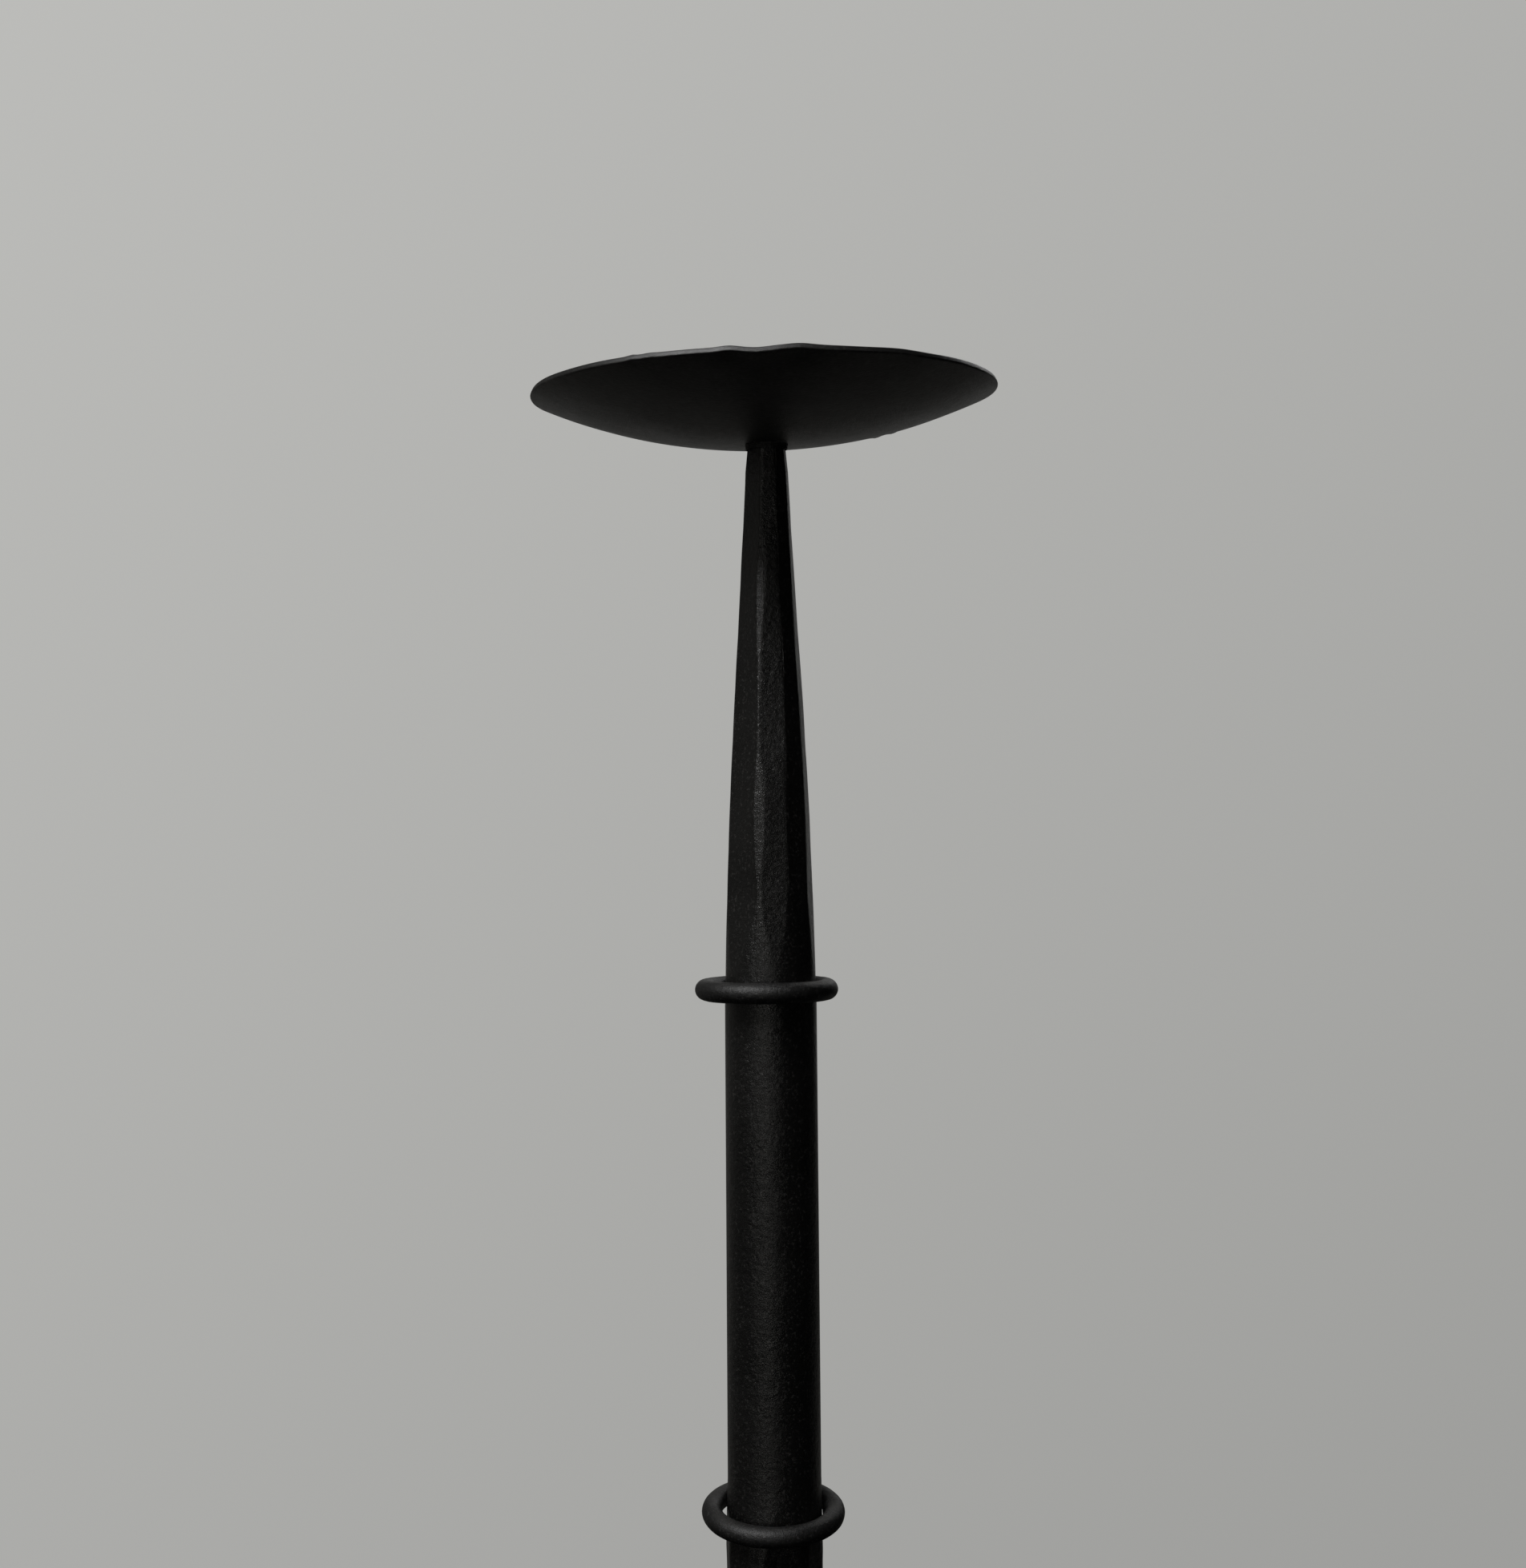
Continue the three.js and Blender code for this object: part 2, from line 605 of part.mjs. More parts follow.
// An object made in the plane of one leg, turned to that leg's angle
function turnToLeg(geometry, angle) {
  return geometry.clone().rotateZ(rad(angle) - Math.PI / 2);
}

function rivetHole() {
  const reach = BOSS_HEIGHT;
  const hole = rod(RIVET_DIAMETER / 2 + CLEARANCE, BOSS_BOTTOM - reach, BOSS_TOP + reach);
  return hole.translate(RIVET_CIRCLE, 0, 0);
}

function radialRod(radius, from, to) {
  return rod(radius, from, to).rotateY(Math.PI / 2).translate(0, 0, SOCKET_HEIGHT);
}

function makeBoss() {
  const radius = BOSS_DIAMETER / 2;
  const bore = BASE_STUD_DIAMETER / 2 + CLEARANCE;
  const register = FOOT_END_DIAMETER / 2 + CLEARANCE;
  const profile = [
    [bore, BOSS_BOTTOM],
    [radius - BOSS_CHAMFER, BOSS_BOTTOM],
    [radius, BOSS_BOTTOM + BOSS_CHAMFER],
    [radius, BOSS_TOP - BOSS_CHAMFER],
    [radius - BOSS_CHAMFER, BOSS_TOP],
    [register, BOSS_TOP],
    [register, BOSS_TOP - REGISTER_DEPTH],
    [bore, BOSS_TOP - REGISTER_DEPTH],
  ];
  let body = solid(closedRevolve(profile));
  const socket = radialRod(TENON_DIAMETER / 2 + CLEARANCE, SOCKET_FLOOR_RADIUS, radius * 2);
  for (const angle of LEG_ANGLES) {
    body = body.subtract(solid(turnToLeg(socket, angle)));
    body = body.subtract(solid(turnToLeg(rivetHole(), angle)));
  }
  return part('leg_boss', geometryOf(body), legPaint);
}

function makeWasher() {
  const hole = BASE_STUD_DIAMETER / 2 + CLEARANCE;
  const bottom = WASHER_TOP - WASHER_THICKNESS;
  const profile = [
    [hole, bottom],
    [WASHER_DIAMETER / 2, bottom],
    [WASHER_DIAMETER / 2, WASHER_TOP],
    [hole, WASHER_TOP],
  ];
  return part('base_washer', geometryOf(solid(closedRevolve(profile, SMALL_STEPS))), hardwarePaint);
}

function makeNut() {
  const bottom = NUT_TOP - NUT_HEIGHT;
  const corner = NUT_FLATS / 2 / Math.cos(Math.PI / 6);
  const hexagon = new THREE.Shape();
  for (let i = 0; i < 6; i++) {
    const angle = (Math.PI * i) / 3;
    hexagon[i === 0 ? 'moveTo' : 'lineTo'](corner * Math.cos(angle), corner * Math.sin(angle));
  }
  hexagon.closePath();
  const prism = new THREE.ExtrudeGeometry(hexagon, { depth: NUT_HEIGHT, bevelEnabled: false });
  prism.translate(0, 0, bottom);
  const turned = revolve([
    [0, bottom],
    [corner - NUT_CHAMFER, bottom],
    [corner, bottom + NUT_CHAMFER / 2],
    [corner, NUT_TOP - NUT_CHAMFER / 2],
    [corner - NUT_CHAMFER, NUT_TOP],
    [0, NUT_TOP],
  ], LATHE_STEPS);
  const hole = rod(BASE_STUD_DIAMETER / 2 + CLEARANCE, bottom - CUT_SPARE, NUT_TOP + CUT_SPARE);
  const body = solid(prism).intersect(solid(turned)).subtract(solid(hole));
  return part('base_nut', geometryOf(body), hardwarePaint);
}

// ---------------------------------------------------------------- legs and rivets

// Middle line of a leg, in the plane of X and Z: out from the boss, over an arch and down to its foot
function legCurve() {
  return new THREE.CubicBezierCurve3(
    new THREE.Vector3(LEG_ROOT, 0, SOCKET_HEIGHT),
    new THREE.Vector3(LEG_ROOT + LEG_SHOULDER_PULL, 0, SOCKET_HEIGHT + LEG_SHOULDER_LIFT),
    new THREE.Vector3(LEG_SPREAD - LEG_ANKLE_PULL, 0, LEG_TIP_HEIGHT),
    new THREE.Vector3(LEG_SPREAD, 0, LEG_TIP_HEIGHT),
  );
}

function legBar() {
  const curve = legCurve();
  const side = new THREE.Vector3(0, 1, 0);
  const rings = [];
  for (let i = 0; i <= LEG_RINGS; i++) {
    const share = i / LEG_RINGS;
    const centre = curve.getPointAt(share);
    const ahead = i === 0 ? new THREE.Vector3(1, 0, 0) : curve.getTangentAt(share);
    const up = ahead.clone().cross(side);
    const radius = mix(LEG_ROOT_DIAMETER, LEG_TIP_DIAMETER, share) / 2;
    const ring = [];
    for (let corner = 0; corner < LEG_SIDES; corner++) {
      const angle = (2 * Math.PI * (corner + 0.5)) / LEG_SIDES;
      const offset = side.clone().multiplyScalar(radius * Math.cos(angle));
      offset.addScaledVector(up, radius * Math.sin(angle));
      ring.push(centre.clone().add(offset));
    }
    rings.push(ring);
  }
  return loft(rings);
}

// A round foot beaten flat: level under, crowned on top
function footDisc() {
  const radius = FOOT_DIAMETER / 2;
  const profile = [
    [0, 0],
    [radius - FOOT_ROUNDING, 0],
    [radius, FOOT_ROUNDING],
    [radius, FOOT_EDGE - FOOT_ROUNDING],
    ...dome(radius - FOOT_ROUNDING, FOOT_EDGE, FOOT_CROWN - FOOT_EDGE),
    [0, FOOT_CROWN],
  ];
  return revolve(profile, DISC_STEPS).translate(LEG_SPREAD, 0, 0);
}

function makeLeg(name, angle) {
  const tenonEnd = SOCKET_FLOOR_RADIUS + CLEARANCE;
  const tenon = radialRod(TENON_DIAMETER / 2, tenonEnd, LEG_ROOT + CUT_SPARE);
  const body = solid(legBar()).add(solid(footDisc())).add(solid(tenon)).subtract(solid(rivetHole()));
  return part(name, turnToLeg(geometryOf(body), angle), legPaint);
}

// Rivet through boss and tenon, with a round head at each end
function makeRivet(name, angle) {
  const shank = RIVET_DIAMETER / 2;
  const head = RIVET_HEAD_DIAMETER / 2;
  const profile = [
    [0, RIVET_BOTTOM - RIVET_HEAD_HEIGHT],
    ...dome(head, RIVET_BOTTOM, -RIVET_HEAD_HEIGHT).reverse(),
    [shank, RIVET_BOTTOM],
    [shank, RIVET_TOP],
    ...dome(head, RIVET_TOP, RIVET_HEAD_HEIGHT),
    [0, RIVET_TOP + RIVET_HEAD_HEIGHT],
  ];
  const rivet = revolve(profile, SMALL_STEPS).translate(RIVET_CIRCLE, 0, 0);
  return part(name, geometryOf(solid(turnToLeg(rivet, angle))), hardwarePaint);
}

function makeBase() {
  const base = new THREE.Group();
  base.add(makeBoss(), makeWasher(), makeNut());
  LEG_ANGLES.forEach((angle, i) => {
    base.add(makeLeg(`leg_${LEG_NAMES[i]}`, angle));
    base.add(makeRivet(`leg_rivet_${LEG_NAMES[i]}`, angle));
  });
  return base;
}

// ---------------------------------------------------------------- the stand

// The middle of the three feet's outline lies on the origin, so the shaft stands a little in front of it
const footDepths = LEG_ANGLES.map((angle) => -LEG_SPREAD * Math.cos(rad(angle)));
const stand = new THREE.Group();
stand.name = 'torchere_candle_stand';
stand.position.y = -(Math.min(...footDepths) + Math.max(...footDepths)) / 2;
stand.add(makeShaft(), makeShaftPlug(), makeHead(), makeRings(), makeBase());

export default stand;
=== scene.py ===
"""Looks of the torchere candle stand: a hammered, black painted iron floor stand for one pillar candle.

Every size is in metres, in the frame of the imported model: +Z up, the front towards -Y, the floor at z = 0.
Each sub-assembly is a class that builds its own pieces, and each finish is a frozen dataclass.
"""

from __future__ import annotations

import json
import logging
import math
from collections.abc import Callable, Iterable, Mapping, Sequence
from dataclasses import dataclass
from enum import Enum
from typing import Any

import bmesh
import bpy
import numpy as np
from bmesh.types import BMesh
from mathutils import Matrix, Vector, noise

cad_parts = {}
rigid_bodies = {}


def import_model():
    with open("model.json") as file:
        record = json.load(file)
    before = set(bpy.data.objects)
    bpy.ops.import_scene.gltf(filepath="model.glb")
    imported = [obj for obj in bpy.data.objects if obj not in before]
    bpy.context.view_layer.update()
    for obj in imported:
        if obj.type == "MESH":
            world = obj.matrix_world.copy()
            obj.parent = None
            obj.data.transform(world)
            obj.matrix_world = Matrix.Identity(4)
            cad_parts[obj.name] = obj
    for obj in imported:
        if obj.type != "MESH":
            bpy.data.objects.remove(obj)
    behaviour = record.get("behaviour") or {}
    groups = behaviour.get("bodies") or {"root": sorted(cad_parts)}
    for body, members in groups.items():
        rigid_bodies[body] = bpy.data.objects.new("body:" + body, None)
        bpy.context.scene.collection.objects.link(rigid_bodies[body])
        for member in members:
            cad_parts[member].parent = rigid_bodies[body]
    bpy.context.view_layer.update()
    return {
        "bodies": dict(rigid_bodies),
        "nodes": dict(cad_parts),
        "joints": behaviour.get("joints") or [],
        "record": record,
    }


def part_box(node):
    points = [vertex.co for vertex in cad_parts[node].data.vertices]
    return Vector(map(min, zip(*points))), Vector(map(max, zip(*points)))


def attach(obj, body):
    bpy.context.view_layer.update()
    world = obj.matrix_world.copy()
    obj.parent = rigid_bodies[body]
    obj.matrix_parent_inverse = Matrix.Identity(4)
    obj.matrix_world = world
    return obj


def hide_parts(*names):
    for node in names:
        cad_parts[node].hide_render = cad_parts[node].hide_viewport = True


log = logging.getLogger("candle_stand")

MM = 0.001
CLEARANCE = 0.3 * MM
MERGE = 0.001 * MM  # points nearer than this are one
CREASE = 50  # degrees; a sharper edge is shaded as an edge
SLIGHT_BEND = 15  # degrees; a corner under this is left as it is
ROUND_REACH = 0.45  # the most of a stretch that the rounding of its end takes up
PLATE_ROUNDING = 0.6 * MM  # of the edges of flat round pieces
BLOW_SLOPE = 1.6  # how soon the hollow of a blow gets its full depth
BODY = "root"
WEAR_AND_HIGHLIGHT = "edge_wear_and_highlight"  # the attribute that says where a sharp edge is lighter, as paint wear and as a painted highlight
PHOTO_WIDTH = 1904
PHOTO_HEIGHT = 1957

Colour = tuple[float, float, float, float]
Point = tuple[float, float]
Profile = Sequence[Point]
Span = tuple[float, float]  # where a rise starts and where it ends


class Slot(Enum):
    """The record's material slots."""

    PAN = "pan_paint"
    SHAFT = "shaft_paint"
    RING = "ring_paint"
    WELD = "weld_paint"
    LEG = "leg_paint"
    HARDWARE = "hardware_paint"


class Side(Enum):
    """The legs and their angles to the right of the front, in degrees."""

    RIGHT = 60
    BACK = 180
    LEFT = 300


class Keep(Enum):
    """What a cut keeps of a mesh, as the Boolean modifier names it."""

    OUTSIDE = "DIFFERENCE"
    INSIDE = "INTERSECT"


# ---------------------------------------------------------------- shader graphs


class Socket:
    """An output of a node, for use in expressions."""

    def __init__(self, graph: Graph, output: bpy.types.NodeSocket) -> None:
        """Keeps the graph and the output."""
        self.graph = graph
        self.output = output

    def _math(self, operation: str, first: Socket | float, second: Socket | float) -> Socket:
        """Adds a Math node over two values."""
        return self.graph.node("ShaderNodeMath", {"operation": operation}, {0: first, 1: second})

    def __add__(self, other: Socket | float) -> Socket:
        """Sum."""
        return self._math("ADD", self, other)

    def __radd__(self, other: float) -> Socket:
        """Sum with a number on the left."""
        return self._math("ADD", other, self)

    def __sub__(self, other: Socket | float) -> Socket:
        """Difference."""
        return self._math("SUBTRACT", self, other)

    def __rsub__(self, other: float) -> Socket:
        """Difference from a number."""
        return self._math("SUBTRACT", other, self)

    def __mul__(self, other: Socket | float) -> Socket:
        """Product."""
        return self._math("MULTIPLY", self, other)

    def __rmul__(self, other: float) -> Socket:
        """Product with a number on the left."""
        return self._math("MULTIPLY", other, self)

    def ramp(self, low: float, high: float) -> Socket:
        """Returns 0 under low, 1 over high and a smooth rise between them.

        Args:
            low: the value where the rise starts.
            high: the value where it ends.

        Returns:
            The share of the rise.
        """
        settings = {"interpolation_type": "SMOOTHSTEP", "clamp": True}
        sockets = {"Value": self, "From Min": low, "From Max": high}
        return self.graph.node("ShaderNodeMapRange", settings, sockets)


class Graph:
    """The nodes of a material or a world."""

    def __init__(self, owner: bpy.types.Material | bpy.types.World) -> None:
        """Empties the owner's node tree.

        Args:
            owner: the material or world.
        """
        owner.use_nodes = True
        self.tree = owner.node_tree
        self.tree.nodes.clear()

    def node(
        self,
        kind: str,
        settings: Mapping[str, Any] | None = None,
        sockets: Mapping[str | int, Any] | None = None,
        output: str | int = 0,
    ) -> Socket:
        """Adds a node.

        Args:
            kind: the node's type.
            settings: its properties, which are set first.
            sockets: a value or a Socket for each input that is used, by name or place.
            output: the output that is wanted.

        Returns:
            That output.
        """
        made = self.tree.nodes.new(kind)
        for key, value in (settings or {}).items():
            setattr(made, key, value)
        for key, value in (sockets or {}).items():
            if isinstance(value, Socket):
                self.tree.links.new(value.output, made.inputs[key])
            else:
                made.inputs[key].default_value = value
        return Socket(self, made.outputs[output])

    def noise(self, place: Socket, size: float, detail: float = 2.0, roughness: float = 0.5) -> Socket:
        """Adds a noise texture.

        Args:
            place: the coordinates.
            size: the width of its features, in metres.
            detail: its octaves.
            roughness: how strong the finer octaves are.

        Returns:
            Its value, from 0 to 1.
        """
        sockets = {"Vector": place, "Scale": 1 / size, "Detail": detail, "Roughness": roughness}
        return self.node("ShaderNodeTexNoise", {}, sockets)

    def mix(self, share: Socket | float, first: Socket | Colour, second: Socket | Colour) -> Socket:
        """Blends two colours.

        Args:
            share: the share of the second colour.
            first: the first colour.
            second: the second colour.

        Returns:
            The blend.
        """
        return self.node("ShaderNodeMix", {"data_type": "RGBA"}, {0: share, 6: first, 7: second}, output=2)

    def finish(self, kind: str, surface: Socket) -> None:
        """Links a shader to an output node of the given type."""
        made = self.tree.nodes.new(kind)
        self.tree.links.new(surface.output, made.inputs["Surface"])


def grey(level: float, warmth: float = 0.0) -> Colour:
    """Returns a grey with its red raised and its blue lowered by a share.

    Args:
        level: the grey, in linear light.
        warmth: the share.

    Returns:
        The colour.
    """
    return (level * (1 + warmth), level, level * (1 - warmth), 1.0)


# ---------------------------------------------------------------- finishes


@dataclass(frozen=True)
class Relief:
    """One scale of unevenness: the width of its features and their depth."""

    size: float
    depth: float
    detail: float = 2.0


@dataclass(frozen=True)
class BlackPaint:
    """Satin black paint on iron: black as a whole, with a grain, thin edges and a little dust; its sharp
    edges are lighter, as paint wear and as a painted highlight.
    """

    slot: Slot
    level: float = 0.001  # of the black
    bloom: float = 0.0022  # of the duller patches
    rub_and_highlight: float = 0.012  # of the sharp edges, lighter as paint wear and as a painted highlight
    dust: float = 0.014  # of what lies on faces that point up
    speck: float = 0.014  # of the fine specks in the paint
    roughness: float = 0.32
    roughness_spread: float = 0.14
    rub_shine: float = 0.1
    dust_dullness: float = 0.15
    gloss: float = 0.5  # specular level
    swell: Relief = Relief(14 * MM, 0.12 * MM)
    peel: Relief = Relief(2.4 * MM, 0.3 * MM)
    grain: Relief = Relief(0.35 * MM, 0.16 * MM, 1.0)
    pit_spacing: float = 4.5 * MM
    pit_depth: float = 0.05 * MM
    pit_edge: Span = (0.02, 0.16)
    cloud_size: float = 38 * MM
    cloud_edge: Span = (0.35, 0.7)
    mottle_size: float = 3.2 * MM
    mottle_share: float = 0.4
    speck_size: float = 1.4 * MM
    speck_edge: Span = (0.56, 0.66)
    # The mask of the sharp edges, lighter as paint wear and as a painted highlight.
    rub_and_highlight_size: float = 7 * MM
    rub_and_highlight_edge: Span = (0.42, 0.66)
    rub_and_highlight_share: float = 0.7
    dust_size: float = 16 * MM
    dust_edge: Span = (0.38, 0.72)
    dust_share: float = 0.5
    dust_slope: Span = (0.55, 1.0)  # of the normal's rise, from no dust to all of it

    def heights(self, graph: Graph, place: Socket) -> Socket:
        """Adds up the paint's unevenness.

        Args:
            graph: the material's graph.
            place: the coordinates.

        Returns:
            The height of the surface, in millimetres.
        """
        total: Socket | float = 0.0
        for relief in (self.swell, self.peel, self.grain):
            total = graph.noise(place, relief.size, relief.detail) * (relief.depth / MM) + total
        sockets = {"Vector": place, "Scale": 1 / self.pit_spacing, "Randomness": 1.0}
        pits = graph.node("ShaderNodeTexVoronoi", {"feature": "F1"}, sockets, output="Distance")
        return total - (1 - pits.ramp(*self.pit_edge)) * (self.pit_depth / MM)

    def material(self) -> bpy.types.Material:
        """Builds the material.

        Returns:
            The material, named after its slot.
        """
        made = bpy.data.materials.new(self.slot.value + "_looks")
        graph = Graph(made)
        place = graph.node("ShaderNodeTexCoord", output="Object")
        cloud = graph.noise(place, self.cloud_size, 3.0)
        mottle = graph.noise(place, self.mottle_size, 4.0, 0.6)
        patches = cloud.ramp(*self.cloud_edge) * (1 - self.mottle_share) + mottle * self.mottle_share
        speckle = graph.noise(place, self.speck_size, 3.0, 0.7).ramp(*self.speck_edge)
        # Sharp edges get a lighter colour: partly paint wear, partly a painted highlight of edges catching
        # the light.
        edge_wear_and_highlight = graph.node("ShaderNodeAttribute", {"attribute_name": WEAR_AND_HIGHLIGHT}, output="Fac")
        rubbed_and_highlit = edge_wear_and_highlight * graph.noise(place, self.rub_and_highlight_size, 3.0).ramp(*self.rub_and_highlight_edge)
        normal = graph.node("ShaderNodeNewGeometry", output="Normal")
        upward = graph.node("ShaderNodeSeparateXYZ", {}, {0: normal}, output="Z").ramp(*self.dust_slope)
        dusty = upward * graph.noise(place, self.dust_size, 5.0, 0.65).ramp(*self.dust_edge)
        colour = graph.mix(patches, grey(self.level, 0.04), grey(self.bloom, 0.06))
        for share, layer in (
            (speckle, grey(self.speck, 0.05)),
            (rubbed_and_highlit * self.rub_and_highlight_share, grey(self.rub_and_highlight, 0.05)),
            (dusty * self.dust_share, grey(self.dust, 0.1)),
        ):
            colour = graph.mix(share, colour, layer)
        roughness = (mottle + cloud - 1) * self.roughness_spread + self.roughness
        roughness = roughness - rubbed_and_highlit * self.rub_shine + dusty * self.dust_dullness
        height = self.heights(graph, place)
        bump = graph.node("ShaderNodeBump", {}, {"Height": height, "Distance": MM, "Strength": 1.0})
        sockets = {
            "Base Color": colour,
            "Roughness": roughness,
            "Normal": bump,
            "Specular IOR Level": self.gloss,
        }
        graph.finish("ShaderNodeOutputMaterial", graph.node("ShaderNodeBsdfPrincipled", {}, sockets))
        return made


PAN_SWELL, PAN_PEEL = Relief(22 * MM, 0.14 * MM), Relief(1.6 * MM, 0.14 * MM)
RING_SWELL, RING_PEEL = Relief(9 * MM, 0.1 * MM), Relief(1.8 * MM, 0.22 * MM)
STEEL_SWELL, STEEL_PEEL = Relief(8 * MM, 0.03 * MM), Relief(1.6 * MM, 0.1 * MM)
FINISHES = (
    BlackPaint(Slot.PAN, roughness=0.45, swell=PAN_SWELL, peel=PAN_PEEL),
    BlackPaint(Slot.SHAFT),
    BlackPaint(Slot.RING, roughness=0.52, gloss=0.4, swell=RING_SWELL, peel=RING_PEEL),
    BlackPaint(Slot.WELD, roughness=0.62, gloss=0.3, peel=Relief(1.2 * MM, 0.2 * MM)),
    BlackPaint(Slot.LEG, swell=Relief(11 * MM, 0.14 * MM)),
    BlackPaint(Slot.HARDWARE, roughness=0.42, swell=STEEL_SWELL, peel=STEEL_PEEL),
)


# ---------------------------------------------------------------- mesh tools


def spun(profile: Profile, steps: int, closed: bool = False) -> BMesh:
    """Turns a profile about Z.

    Args:
        profile: pairs of radius and height; an open one starts and ends on the axis.
        steps: the faces round the turn.
        closed: joins the profile's end to its start.

    Returns:
        A closed mesh with its faces pointing out.
    """
    bm = bmesh.new()
    verts = [bm.verts.new((radius, 0.0, height)) for radius, height in profile]
    edges = [bm.edges.new(pair) for pair in zip(verts, verts[1:])]
    if closed:
        edges.append(bm.edges.new((verts[-1], verts[0])))
    turn = {"cent": (0, 0, 0), "axis": (0, 0, 1), "angle": math.tau, "steps": steps, "use_merge": True}
    bmesh.ops.spin(bm, geom=verts + edges, **turn)
    bmesh.ops.remove_doubles(bm, verts=bm.verts[:], dist=MERGE)
    bmesh.ops.recalc_face_normals(bm, faces=bm.faces[:])
    return bm


def polar(angle: float, reach: float, height: float) -> Vector:
    """Returns a place by its angle right of the front in degrees, its distance from Z and its height."""
    return Vector((reach * math.sin(math.radians(angle)), -reach * math.cos(math.radians(angle)), height))


def arc(centre: Point, radius: float, start: float, end: float, steps: int) -> list[Point]:
    """Returns points of an arc in a profile.

    Args:
        centre: its centre, as radius and height.
        radius: its radius.
        start: its first angle from the outward direction, in degrees, upward positive.
        end: its last angle.
        steps: the pieces that it is cut into.

    Returns:
        The points, with both ends.
    """
    angles = (math.radians(start + (end - start) * step / steps) for step in range(steps + 1))
    return [(centre[0] + radius * math.cos(angle), centre[1] + radius * math.sin(angle)) for angle in angles]


def quarter(steps: int) -> list[float]:
    """Returns even angles over a quarter turn in radians, with both ends."""
    return [math.pi / 2 * step / steps for step in range(steps + 1)]


def rungs(low: float, high: float, longest: float) -> list[float]:
    """Returns even steps from low up to just before high, none longer than asked."""
    count = max(1, math.ceil((high - low) / longest))
    return [low + (high - low) * step / count for step in range(count)]


def smooth_least(first: float, second: float, blend: float) -> float:
    """Returns the lesser of two values, rounded where they meet over the given difference."""
    nearness = max(blend - abs(first - second), 0.0) / blend
    return min(first, second) - nearness * nearness * blend / 4


def rolling(place: Vector, size: float, seed: float = 0.0) -> float:
    """Returns soft noise from 0 to 1 whose features have the given size."""
    return 0.5 + 0.5 * noise.noise(place / size + Vector((seed, seed, seed)))


def pressed(bm: BMesh, depth_at: Callable[[Vector], float]) -> None:
    """Presses a surface in by a depth that changes from place to place.

    Args:
        bm: the mesh.
        depth_at: gives the depth at a place.
    """
    bm.normal_update()
    moves = [(vert, vert.normal * -depth_at(vert.co)) for vert in bm.verts]
    for vert, move in moves:
        vert.co += move


def dent(bm: BMesh, dents: Relief, seed: float) -> None:
    """Presses soft dents into a surface, in a pattern that the seed moves."""
    pressed(bm, lambda place: dents.depth * rolling(place, dents.size, seed))


def planish(bm: BMesh, blows: Relief, seed: float) -> None:
    """Covers a surface with the shallow hollows of a hammer, side by side.

    Args:
        bm: the mesh.
        blows: the distance between the blows, and how far they lie under the edges between them.
        seed: moves the pattern.
    """
    offset = Vector((seed, seed, seed))

    def depth_at(place: Vector) -> float:
        """Returns how deep the hollow is at a place.

        Args:
            place: the place.

        Returns:
            The depth.
        """
        nearest, second = noise.voronoi(place / blows.size + offset)[0][:2]
        hollow = min(1.0, BLOW_SLOPE * (second - nearest))
        return blows.depth * hollow * (2 - hollow)

    pressed(bm, depth_at)


def evaluated(bm: BMesh, dress: Callable[[bpy.types.Object], None]) -> BMesh:
    """Runs modifiers over a mesh.

    Args:
        bm: the mesh, which is used up.
        dress: adds the modifiers to the object that it is given.

    Returns:
        The mesh that they make.
    """
    holder = mesh_object(bm, "workpiece")
    dress(holder)
    bpy.context.view_layer.update()
    result = bmesh.new()
    result.from_object(holder, bpy.context.evaluated_depsgraph_get())
    bpy.data.meshes.remove(holder.data)
    return result


def remeshed(bm: BMesh, voxel: float, smoothing: int) -> BMesh:
    """Makes one even skin over closed shapes that overlap, and softens it.

    Args:
        bm: the shapes, which are used up.
        voxel: the size of the new faces.
        smoothing: how many times the skin is smoothed.

    Returns:
        The skin.
    """

    def dress(holder: bpy.types.Object) -> None:
        """Adds the remesh.

        Args:
            holder: the object that it is added to.
        """
        remesh = holder.modifiers.new("skin", "REMESH")
        remesh.mode = "VOXEL"
        remesh.voxel_size = voxel

    skin = evaluated(bm, dress)
    every_way = {"use_axis_x": True, "use_axis_y": True, "use_axis_z": True}
    for _ in range(smoothing):
        bmesh.ops.smooth_vert(skin, verts=skin.verts[:], factor=0.5, **every_way)
    return skin


def cut(bm: BMesh, tools: Iterable[BMesh], keep: Keep = Keep.OUTSIDE) -> BMesh:
    """Cuts a closed mesh with others.

    Args:
        bm: the mesh, which is used up.
        tools: the cutting meshes, which are used up too.
        keep: the side of the tools that the cut keeps.

    Returns:
        What is left.
    """
    holders = [mesh_object(tool, "cutter") for tool in tools]

    def dress(holder: bpy.types.Object) -> None:
        """Adds one cut for each tool.

        Args:
            holder: the object that they are added to.
        """
        for cutter in holders:
            boolean = holder.modifiers.new("cut", "BOOLEAN")
            boolean.operation = keep.value
            boolean.solver = "EXACT"
            boolean.object = cutter

    result = evaluated(bm, dress)
    for cutter in holders:
        bpy.data.meshes.remove(cutter.data)
    return result


def joined(parts: Iterable[BMesh]) -> BMesh:
    """Puts meshes in one.

    Args:
        parts: the meshes, which are used up.

    Returns:
        The one mesh.
    """
    whole = bmesh.new()
    for part in parts:
        mesh = bpy.data.meshes.new("part")
        part.to_mesh(mesh)
        part.free()
        whole.from_mesh(mesh)
        bpy.data.meshes.remove(mesh)
    return whole


def mesh_object(bm: BMesh, name: str) -> bpy.types.Object:
    """Makes an object from a mesh.

    Args:
        bm: the mesh, which is used up.
        name: the object's name.

    Returns:
        The object, in the scene.
    """
    mesh = bpy.data.meshes.new(name)
    bm.to_mesh(mesh)
    bm.free()
    made = bpy.data.objects.new(name, mesh)
    bpy.context.scene.collection.objects.link(made)
    return made


def box_middle(node: str) -> Vector:
    """Returns the middle of a node's box."""
    low, high = (Vector(corner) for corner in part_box(node))
    return (low + high) / 2


